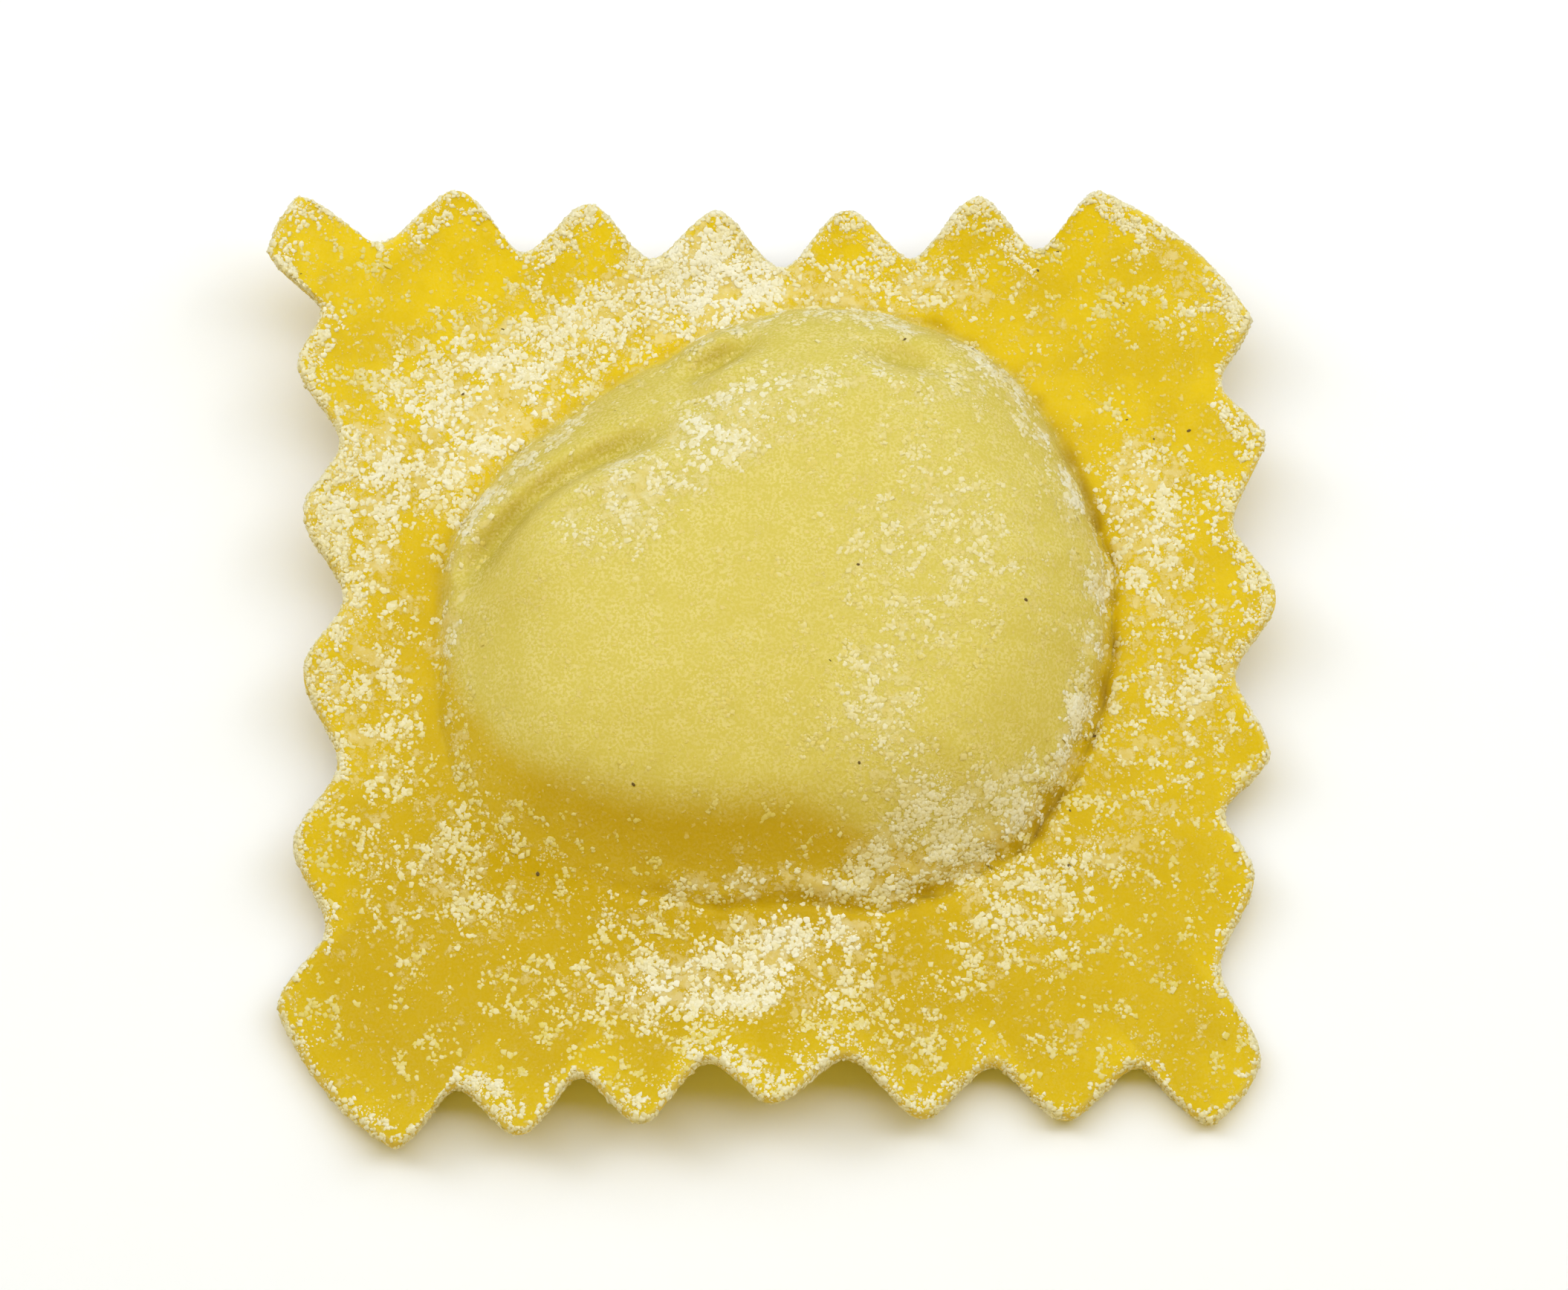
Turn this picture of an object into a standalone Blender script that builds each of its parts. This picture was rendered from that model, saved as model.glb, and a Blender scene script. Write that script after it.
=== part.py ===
"""One square agnolotto of fresh egg pasta: two dough sheets pressed together round a mound of filling,
with all four sides cut by a fluted wheel and the pressed border curling off the table.

Units are metres, +Z is up. The table is z = 0, the back of the piece is towards +Y, and the origin is
the middle of the piece's box, on the table. The piece is one solid, a loft of rings that starts at the
top of the mound, runs out over the border, turns over the cut edge and comes back under the belly.
"""

import math
from dataclasses import dataclass

import bmesh
import bpy

MM = 0.001

# The fluted outline, seen from above, in millimetres: the tooth tips of each side, counter-clockwise.
RIGHT_TIPS = ((24.6, -20.7), (24.4, -11.3), (25.2, -4.9), (25.6, 2.9), (25.1, 11.3), (24.5, 18.0))
BACK_TIPS = (
    (16.7, 24.9), (10.4, 24.7), (3.6, 24.1), (-3.2, 24.1),
    (-9.8, 24.3), (-16.6, 24.8), (-24.8, 23.8),
)
LEFT_TIPS = ((-26.3, 20.8), (-24.8, 15.2), (-24.3, 7.3), (-24.3, -1.1), (-24.7, -9.9), (-25.5, -18.1))
FRONT_TIPS = (
    (-19.5, -25.6), (-13.1, -25.2), (-6.9, -24.7), (-0.2, -23.9),
    (7.3, -24.1), (14.6, -24.0), (22.1, -24.2),
)

# Each side: its tips, the way it faces, and how deep each of its notches is cut.
SIDES = (
    (RIGHT_TIPS, (1.0, 0.0), (1.9, 1.9, 1.9, 1.9, 1.9)),
    (BACK_TIPS, (0.0, 1.0), (2.7, 2.7, 2.7, 2.7, 2.7, 2.35)),
    (LEFT_TIPS, (-1.0, 0.0), (2.0, 2.0, 2.0, 2.0, 2.0)),
    (FRONT_TIPS, (0.0, -1.0), (2.8, 2.8, 2.8, 2.8, 2.8, 2.8)),
)
STEPS_PER_FLANK = 5        # points from a tip to the next notch
TIP_ROUNDING = 0.3         # share of a flank that its rounded tip takes
NOTCH_ROUNDING = 0.2       # share of a flank that its rounded notch takes
CORNER_BULGE = 0.085       # how far a corner's cut bows out, as a share of its length
CORNER_STEPS = (8, 3, 6, 3)  # edges along the corner that follows each side
MEAN_HALF_SIDE = 24.0      # the square that the teeth run along
MEAN_SQUARENESS = 8.0      # power of the superellipse that rounds that square's corners

# The mound of filling.
MOUND_CENTRE = (0.2, 2.5)
SHOULDER_HEIGHT = 4.4      # above the border, where the wall ends
CROWN_HEIGHT = 2.4         # of the middle, above the shoulder
FOOT_RADIUS = 16.7
# Where the foot of the mound leaves a circle: angle in degrees, swell, spread in degrees.
FOOT_SWELLS = ((212.0, 2.3, 22.0), (172.0, 0.5, 20.0), (52.0, 0.8, 18.0), (268.0, -1.2, 22.0))
FLAT_SIDE = (122.0, 15.1)  # the foot runs straight here: the way it faces, and its distance
FLAT_BLEND = 1.2           # how softly the straight stretch meets the round one
# Values every 45 degrees round the mound, from the right side counter-clockwise.
WALL_WIDTH = (6.0, 7.5, 8.0, 8.0, 7.0, 8.0, 8.0, 7.0)         # from the foot in to the shoulder
WALL_CRISPNESS = (0.5, 0.45, 0.25, 0.3, 0.5, 0.0, 0.0, 0.45)  # 1 stands up like a quarter circle
WALL_SOFTNESS = (0.0, 0.0, 0.0, 0.2, 0.2, 1.0, 1.0, 0.2)      # 1 runs softly into the border
GROOVE_DEPTH = (0.3, 0.3, 0.15, 0.15, 0.3, 0.0, 0.1, 0.3)     # the line pressed round the foot
SKIRT_HEIGHT = (0.0, 0.0, 0.0, 0.0, 0.1, 1.3, 1.2, 0.15)      # the top sheet's run over the foot
# How far the cut edge curls up, every 22.5 degrees.
RIM_LIFT = (1.7, 2.0, 2.3, 1.75, 1.2, 2.6, 4.0, 3.05, 2.1, 0.8, -0.2, 1.8, 2.9, -0.1, -0.7, 0.4)

SOFT_FOOT = 6.6            # width of the soft wall's foot
SOFT_REACH = 13.0          # from the foot in to where the soft wall ends
SOFT_SHARE = 0.6           # how much of the soft wall is its foot
SKIRT_INSIDE = 7.0         # how far the skirt reaches in from the foot
SKIRT_OUTSIDE = 3.2        # how fast it fades over the border


@dataclass(frozen=True)
class Crease:
    """A buckle in the top sheet. Lengths are in millimetres, and its direction is in degrees from +X."""

    middle: tuple
    direction: float
    half_length: float
    bow: float
    width: float
    depth: float


CREASES = (
    Crease(middle=(-10.9, 7.0), direction=34.0, half_length=6.8, bow=1.4, width=0.85, depth=1.2),
    Crease(middle=(-14.4, 4.8), direction=55.0, half_length=3.4, bow=0.2, width=1.3, depth=1.0),
    Crease(middle=(-7.8, 10.0), direction=20.0, half_length=3.2, bow=0.2, width=1.1, depth=0.7),
    Crease(middle=(-2.95, 15.2), direction=29.0, half_length=2.8, bow=0.1, width=0.85, depth=1.4),
    Crease(middle=(6.6, 14.9), direction=-12.0, half_length=2.8, bow=0.1, width=0.9, depth=1.0),
)
CREASE_LIMIT = 0.6         # a crease takes at most this share of the mound's height
CREASE_LIPS = 0.4          # height of a crease's raised lips, as a share of its depth
LIP_PLACE = 1.7            # where the lips are, as a multiple of the crease's width

# The pressed border and the belly.
BELLY_DEPTH = 0.9          # how far the belly hangs below the root of the border
BELLY_FLAT = 0.72          # share of the foot's radius that lies flat on the table
ROOT_THICKNESS = 1.9       # two sheets, beside the mound
RIM_THICKNESS = 1.4        # two sheets, pinched at the cut
LIFT_POWER = 1.6           # the border stays low near the mound and curls near the cut

# Rings of the loft.
MOUND_RINGS = 17
BORDER_SHARES = (0.05, 0.14, 0.28, 0.44, 0.62, 0.8, 0.93)
TOP_EDGE, CUT_EDGE, UNDER_EDGE = 0.975, 1.0, 0.985
BEVEL_DROP = 0.4           # share of the rim's thickness that the rounded top edge takes
UNDER_SHARES = (0.8, 0.5, 0.2, 0.0)
BELLY_RINGS = (0.88, BELLY_FLAT)
FLAT_RINGS = (0.45, 0.22)


def around(values, angle):
    """The value at an angle in degrees, eased between the evenly spaced values round a full turn."""
    place = (angle % 360.0) / 360.0 * len(values)
    first = int(place) % len(values)
    share = place - int(place)
    ease = share * share * (3.0 - 2.0 * share)
    return values[first] * (1.0 - ease) + values[(first + 1) % len(values)] * ease


def flank_drop(share):
    """How far a flank has dropped from its tip (0) to its notch (1), rounded at both ends."""
    def rounded(place):
        return math.hypot(place, TIP_ROUNDING) - math.hypot(1.0 - place, NOTCH_ROUNDING) - place
    return (rounded(share) - rounded(0.0)) / (rounded(1.0) - rounded(0.0))


def flank(tip, notch, facing):
    """Points from a tip to a notch, without the notch."""
    points = []
    for step in range(STEPS_PER_FLANK):
        share = step / STEPS_PER_FLANK
        drop = flank_drop(share)
        points.append(tuple(
            tip[k] + (notch[k] - tip[k]) * (drop if facing[k] else share) for k in (0, 1)
        ))
    return points


def side_points(tips, facing, depths):
    """Points along one side, from its first tip to its last, teeth and notches."""
    points = []
    for tip, following, depth in zip(tips, tips[1:], depths):
        notch = tuple((tip[k] + following[k]) / 2.0 - facing[k] * depth for k in (0, 1))
        points += flank(tip, notch, facing)
        rising = flank(following, notch, facing)
        points += [notch] + rising[:0:-1]
    return points + [tips[-1]]


def corner_points(start, end, steps):
    """Points between two sides, along a shallow outward arc, without its two ends."""
    chord = (end[0] - start[0], end[1] - start[1])
    out = (chord[1] * CORNER_BULGE, -chord[0] * CORNER_BULGE)
    points = []
    for step in range(1, steps):
        share = step / steps
        bow = 4.0 * share * (1.0 - share)
        points.append(tuple(start[k] + chord[k] * share + out[k] * bow for k in (0, 1)))
    return points


def fluted_outline():
    """The whole cut edge, counter-clockwise, in millimetres."""
    points = []
    for number, (tips, facing, depths) in enumerate(SIDES):
        following = SIDES[(number + 1) % len(SIDES)][0]
        points += side_points(tips, facing, depths)
        points += corner_points(tips[-1], following[0], CORNER_STEPS[number])
    return points


def turn_between(angle, other):
    """The signed turn from one angle to another, in degrees, from -180 to 180."""
    return (angle - other + 180.0) % 360.0 - 180.0


def foot_radius(angle):
    """Distance from the mound's centre to its foot at an angle in degrees."""
    radius = FOOT_RADIUS
    for middle, swell, spread in FOOT_SWELLS:
        radius += swell * math.exp(-(turn_between(angle, middle) / spread) ** 2)
    faces, distance = FLAT_SIDE
    slant = math.cos(math.radians(turn_between(angle, faces)))
    if slant <= 0.2:
        return radius
    straight = distance / slant
    return -FLAT_BLEND * math.log(math.exp(-radius / FLAT_BLEND) + math.exp(-straight / FLAT_BLEND))


def border_share(x, y):
    """How far out over the border a point is: 0 at the mound's foot, 1 along the line of the teeth."""
    away = (x - MOUND_CENTRE[0], y - MOUND_CENTRE[1])
    foot = foot_radius(math.degrees(math.atan2(away[1], away[0])))
    past_foot = max(0.0, math.hypot(*away) - foot)
    powers = sum(abs(value / MEAN_HALF_SIDE) ** MEAN_SQUARENESS for value in (x, y))
    square = powers ** (1.0 / MEAN_SQUARENESS)
    to_teeth = math.hypot(x, y) * (1.0 / max(square, 0.01) - 1.0)
    return past_foot / max(past_foot + to_teeth, 0.5)


def crease_depth(x, y):
    """How deep the buckled creases are at a point, below zero on their raised lips."""
    depth = 0.0
    for crease in CREASES:
        turn = math.radians(crease.direction)
        away = (x - crease.middle[0], y - crease.middle[1])
        along = away[0] * math.cos(turn) + away[1] * math.sin(turn)
        across = away[1] * math.cos(turn) - away[0] * math.sin(turn)
        fade = max(0.0, 1.0 - (along / crease.half_length) ** 2)
        spread = abs(across - crease.bow * fade) / crease.width
        lips = CREASE_LIPS * math.exp(-(spread - LIP_PLACE) ** 2)
        depth += crease.depth * fade ** 1.5 * (math.exp(-spread ** 2) - lips)
    return depth


def gentle(share):
    """Step of a share from 0 to 1 that starts and ends softly."""
    share = min(1.0, max(0.0, share))
    return share ** 3 * (share * (share * 6.0 - 15.0) + 10.0)


def quarter_sine(share):
    """Quarter of a sine wave over a share from 0 to 1."""
    return math.sin(min(1.0, share) * math.pi / 2.0)


def mound_rise(share, angle):
    """Height of the mound above its root, at a share of the foot's radius."""
    inside = foot_radius(angle) * (1.0 - share)
    up = min(1.0, inside / around(WALL_WIDTH, angle))
    crispness = around(WALL_CRISPNESS, angle)
    steep = math.sqrt(1.0 - (1.0 - up) ** 2) * crispness + quarter_sine(up) * (1.0 - crispness)
    soft = gentle(inside / SOFT_FOOT) * SOFT_SHARE + quarter_sine(inside / SOFT_REACH) * (1.0 - SOFT_SHARE)
    softness = around(WALL_SOFTNESS, angle)
    wall = steep * (1.0 - softness) + soft * softness
    return SHOULDER_HEIGHT * wall + CROWN_HEIGHT * (1.0 - share ** 2)


def skirt(past_foot, angle):
    """Height added where the top sheet runs off the mound without a foot."""
    if past_foot < 0.0:
        return around(SKIRT_HEIGHT, angle) * (1.0 - gentle(-past_foot / SKIRT_INSIDE))
    return around(SKIRT_HEIGHT, angle) * math.exp(-past_foot / SKIRT_OUTSIDE)


class Column:
    """One radial line of the loft, through a point of the outline."""

    def __init__(self, edge):
        self.edge = edge
        away = (edge[0] - MOUND_CENTRE[0], edge[1] - MOUND_CENTRE[1])
        reach = math.hypot(*away)
        self.angle = math.degrees(math.atan2(away[1], away[0]))
        self.radius = foot_radius(self.angle)
        self.border_width = reach - self.radius
        self.foot = tuple(MOUND_CENTRE[k] + away[k] / reach * self.radius for k in (0, 1))

    def border_plan(self, share):
        """Plan position at a share of the way from the foot (0) to the cut edge (1)."""
        return tuple(self.foot[k] + (self.edge[k] - self.foot[k]) * share for k in (0, 1))

    def mound_plan(self, share):
        """Plan position at a share of the way from the mound's centre (0) to its foot (1)."""
        return tuple(MOUND_CENTRE[k] + (self.foot[k] - MOUND_CENTRE[k]) * share for k in (0, 1))

    def border_point(self, share, level):
        """Point of the border, at a level from its underside (0) to its top (1)."""
        x, y = self.border_plan(share)
        out = border_share(x, y)
        under = BELLY_DEPTH + around(RIM_LIFT, self.angle) * out ** LIFT_POWER
        thickness = ROOT_THICKNESS + (RIM_THICKNESS - ROOT_THICKNESS) * out
        thickness += skirt(self.border_width * share, self.angle)
        return x, y, under + thickness * level

    def mound_top(self, share):
        """Point on the mound."""
        x, y = self.mound_plan(share)
        root = BELLY_DEPTH + ROOT_THICKNESS
        groove = around(GROOVE_DEPTH, self.angle) * share ** 12
        rise = mound_rise(share, self.angle)
        top = root + rise - min(crease_depth(x, y), CREASE_LIMIT * rise)
        return x, y, top + skirt(-self.radius * (1.0 - share), self.angle) - groove

    def belly(self, share):
        """Point on the belly, which is flat on the table inside BELLY_FLAT."""
        x, y = self.mound_plan(share)
        slope = max(0.0, (share - BELLY_FLAT) / (1.0 - BELLY_FLAT))
        return x, y, BELLY_DEPTH * slope ** 2


def mound_shares():
    """Shares of the foot's radius for the mound's rings, from the centre outwards, closer near the foot."""
    return [math.sin(math.pi / 2.0 * ring / MOUND_RINGS) for ring in range(1, MOUND_RINGS + 1)]


def columns_for(share):
    """Every how many columns a mound ring has a point, so that its triangles stay even."""
    return 8 if share < 0.2 else 4 if share < 0.42 else 2 if share < 0.8 else 1


def loft_rings(columns):
    """Every ring of the solid, in order, each a list of points in millimetres."""
    rings = []
    for share in mound_shares():
        rings.append([column.mound_top(share) for column in columns[::columns_for(share)]])
    for share in BORDER_SHARES + (TOP_EDGE,):
        rings.append([column.border_point(share, 1.0) for column in columns])
    rings.append([column.border_point(CUT_EDGE, 1.0 - BEVEL_DROP) for column in columns])
    rings.append([column.border_point(UNDER_EDGE, 0.0) for column in columns])
    for share in UNDER_SHARES:
        rings.append([column.border_point(share, 0.0) for column in columns[::2]])
    for share in BELLY_RINGS:
        rings.append([column.belly(share) for column in columns[::2]])
    for share, skip in zip(FLAT_RINGS, (4, 8)):
        rings.append([column.belly(share) for column in columns[::skip]])
    return rings


def bridge(bm, inner, outer):
    """Faces between two rings. One ring may have twice the points of the other."""
    if len(inner) > len(outer):
        step = len(outer)
        for i in range(step):
            a, b, c = (inner[(2 * i + k) % len(inner)] for k in (0, 1, 2))
            p, q = outer[i], outer[(i + 1) % step]
            bm.faces.new((a, p, b))
            bm.faces.new((b, p, q))
            bm.faces.new((b, q, c))
        return
    step = len(inner)
    wide = len(outer) // step
    for i in range(step):
        p, q = inner[i], inner[(i + 1) % step]
        if wide == 1:
            bm.faces.new((p, outer[i], outer[(i + 1) % step], q))
            continue
        a, b, c = (outer[(2 * i + k) % len(outer)] for k in (0, 1, 2))
        bm.faces.new((p, a, b))
        bm.faces.new((p, b, q))
        bm.faces.new((q, b, c))


def centred(rings):
    """The rings in metres, moved so that the middle of their box is over the origin."""
    middle = [
        (min(p[k] for ring in rings for p in ring) + max(p[k] for ring in rings for p in ring)) / 2.0
        for k in (0, 1)
    ]
    return [
        [((x - middle[0]) * MM, (y - middle[1]) * MM, z * MM) for x, y, z in ring]
        for ring in rings
    ]


def dough_material():
    """Fresh egg dough: golden, matt and slightly translucent."""
    material = bpy.data.materials.new("egg_dough")
    material.use_nodes = True
    shader = material.node_tree.nodes["Principled BSDF"]
    shader.inputs["Base Color"].default_value = (0.72, 0.46, 0.04, 1.0)
    shader.inputs["Roughness"].default_value = 0.6
    shader.inputs["Metallic"].default_value = 0.0
    shader.inputs["Subsurface Weight"].default_value = 0.15
    shader.inputs["Subsurface Scale"].default_value = 0.001
    return material


def build_agnolotto(collection):
    """The whole piece as one closed solid."""
    columns = [Column(edge) for edge in fluted_outline()]
    bm = bmesh.new()
    rings = [[bm.verts.new(point) for point in ring] for ring in centred(loft_rings(columns))]
    for inner, outer in zip(rings, rings[1:]):
        bridge(bm, inner, outer)
    bm.faces.new(rings[0])
    bm.faces.new(rings[-1][::-1])
    mesh = bpy.data.meshes.new("agnolotto")
    bm.to_mesh(mesh)
    bm.free()
    mesh.shade_smooth()
    mesh.materials.append(dough_material())
    piece = bpy.data.objects.new("agnolotto", mesh)
    collection.objects.link(piece)


def clear_scene():
    """Removes whatever the scene starts with."""
    for old in list(bpy.data.objects):
        bpy.data.objects.remove(old, do_unlink=True)


def main():
    clear_scene()
    collection = bpy.data.collections.new("agnolotto")
    bpy.context.scene.collection.children.link(collection)
    build_agnolotto(collection)


main()
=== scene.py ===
"""One square agnolotto of fresh egg pasta, dusted with semolina, on a plain white table.

The dough is one fine closed mesh in place of the solid. The semolina lies on it as true-size grains, and
a few specks of bran are pressed into its skin. Plan sizes are in millimetres until a mesh is finished.
"""

import logging
import math
from dataclasses import dataclass, field
from enum import Enum

import bmesh
import bpy
import numpy as np
from mathutils import Matrix, Vector
from mathutils.bvhtree import BVHTree


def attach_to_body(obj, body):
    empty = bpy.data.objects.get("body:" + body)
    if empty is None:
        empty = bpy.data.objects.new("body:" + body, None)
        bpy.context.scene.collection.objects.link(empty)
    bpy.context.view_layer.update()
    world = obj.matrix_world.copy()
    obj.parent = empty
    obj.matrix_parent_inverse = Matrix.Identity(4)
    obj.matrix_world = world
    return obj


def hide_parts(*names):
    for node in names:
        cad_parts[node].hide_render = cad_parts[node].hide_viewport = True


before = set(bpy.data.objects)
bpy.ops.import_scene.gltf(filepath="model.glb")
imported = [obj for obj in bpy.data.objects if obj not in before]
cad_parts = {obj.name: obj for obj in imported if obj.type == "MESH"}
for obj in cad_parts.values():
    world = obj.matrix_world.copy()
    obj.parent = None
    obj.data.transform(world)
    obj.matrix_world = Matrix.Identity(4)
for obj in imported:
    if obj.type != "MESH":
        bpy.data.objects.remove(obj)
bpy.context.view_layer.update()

MM = 0.001
BODY = "root"
NODE = "agnolotto"
Array = np.ndarray
Piece = bpy.types.Object
Socket = bpy.types.NodeSocket
Plan = tuple[float, float]
Round = tuple[float, ...]
Colour = tuple[float, float, float]
Draws = np.random.Generator

log = logging.getLogger("agnolotto")


# Shared sums


def eased(share: Array) -> Array:
    """Smooth step of a share from 0 to 1, flat at both ends."""
    share = np.clip(share, 0.0, 1.0)
    return share * share * (3.0 - 2.0 * share)


def gentle(share: Array) -> Array:
    """Step of a share from 0 to 1 whose slope also starts and ends softly."""
    share = np.clip(share, 0.0, 1.0)
    return share ** 3 * (share * (share * 6.0 - 15.0) + 10.0)


def around(values: Round, angle: Array) -> Array:
    """Values spread evenly round a full turn, eased between.

    Args:
        values: the value at each even step from +X, counter-clockwise.
        angle: angles in degrees.

    Returns:
        The value at each angle.
    """
    place = np.mod(angle, 360.0) / 360.0 * len(values)
    first = np.floor(place).astype(int)
    ease = eased(place - first)
    table = np.array(values)
    return table[first % len(values)] * (1.0 - ease) + table[(first + 1) % len(values)] * ease


def srgb(red: int, green: int, blue: int) -> Colour:
    """A colour as a picture stores it, from 0 to 255, made linear."""
    shares = (red / 255.0, green / 255.0, blue / 255.0)
    return tuple(s / 12.92 if s <= 0.04045 else ((s + 0.055) / 1.055) ** 2.4 for s in shares)


def turned(x: Array, y: Array, middle: Plan, direction: float) -> tuple[Array, Array]:
    """Places seen from a middle, along a direction in the plan.

    Args:
        x: places across, in millimetres.
        y: places along, in millimetres.
        middle: the place that they are seen from.
        direction: degrees from +X, counter-clockwise.

    Returns:
        How far each place is along the direction, and how far to its left.
    """
    turn = math.radians(direction)
    away = x - middle[0], y - middle[1]
    along = away[0] * math.cos(turn) + away[1] * math.sin(turn)
    return along, away[1] * math.cos(turn) - away[0] * math.sin(turn)


def in_order(triangles: Array) -> Array:
    """Puts triangles in a fixed order, because the faces of a new sphere come in a new order at each run.

    Args:
        triangles: one row of three vertex numbers for each.

    Returns:
        The same triangles, each from its lowest vertex on, the lowest first.
    """
    start = np.argmin(triangles, axis=1)[:, None]
    triangles = np.take_along_axis(triangles, (start + np.arange(3)) % 3, axis=1)
    return triangles[np.lexsort(triangles.T[::-1])]


def made_mesh(name: str, bm: bmesh.types.BMesh) -> bpy.types.Mesh:
    """Keeps a shape as a mesh, and frees the shape.

    Args:
        name: the mesh's name.
        bm: the shape.

    Returns:
        The mesh.
    """
    mesh = bpy.data.meshes.new(name)
    bm.to_mesh(mesh)
    bm.free()
    return mesh


def placed(name: str, data: bpy.types.ID) -> Piece:
    """Puts a mesh, a lamp or a camera in the scene.

    Args:
        name: the new object's name.
        data: the mesh, the lamp or the camera.

    Returns:
        The new object, at the origin.
    """
    piece = bpy.data.objects.new(name, data)
    bpy.context.scene.collection.objects.link(piece)
    return piece


@dataclass(frozen=True)
class Noise:
    """Smooth random hills over the plan, the same at each run."""

    seed: int
    wavelengths: tuple[float, ...]
    weights: tuple[float, ...]
    cells: int = 128
    start: float = 300.0

    def at(self, x: Array, y: Array) -> Array:
        """Height of the hills, about -1 to 1.

        Args:
            x: places across, in millimetres.
            y: places along, in millimetres.

        Returns:
            One height for each place.
        """
        total = np.zeros_like(x)
        for number, (wavelength, weight) in enumerate(zip(self.wavelengths, self.weights)):
            random = np.random.default_rng(self.seed + number)
            table = random.uniform(-1.0, 1.0, (self.cells, self.cells))
            turn = random.uniform(0.0, math.pi)
            across = (x * math.cos(turn) + y * math.sin(turn)) / wavelength + self.start
            along = (y * math.cos(turn) - x * math.sin(turn)) / wavelength + self.start
            column, row = np.floor(across).astype(int), np.floor(along).astype(int)
            u, v = eased(across - column), eased(along - row)
            corner = [
                [table[(column + i) % self.cells, (row + j) % self.cells] for j in (0, 1)] for i in (0, 1)
            ]
            near = corner[0][0] * (1.0 - v) + corner[0][1] * v
            far = corner[1][0] * (1.0 - v) + corner[1][1] * v
            total += weight * (near * (1.0 - u) + far * u)
        return total


# The form of the dough


@dataclass
class Side:
    """One side of the fluted cut: its tooth tips, counter-clockwise, and the corner after it."""

    tips: tuple[Plan, ...]
    facing: Plan
    notch_depths: tuple[float, ...]
    corner_steps: int


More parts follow.
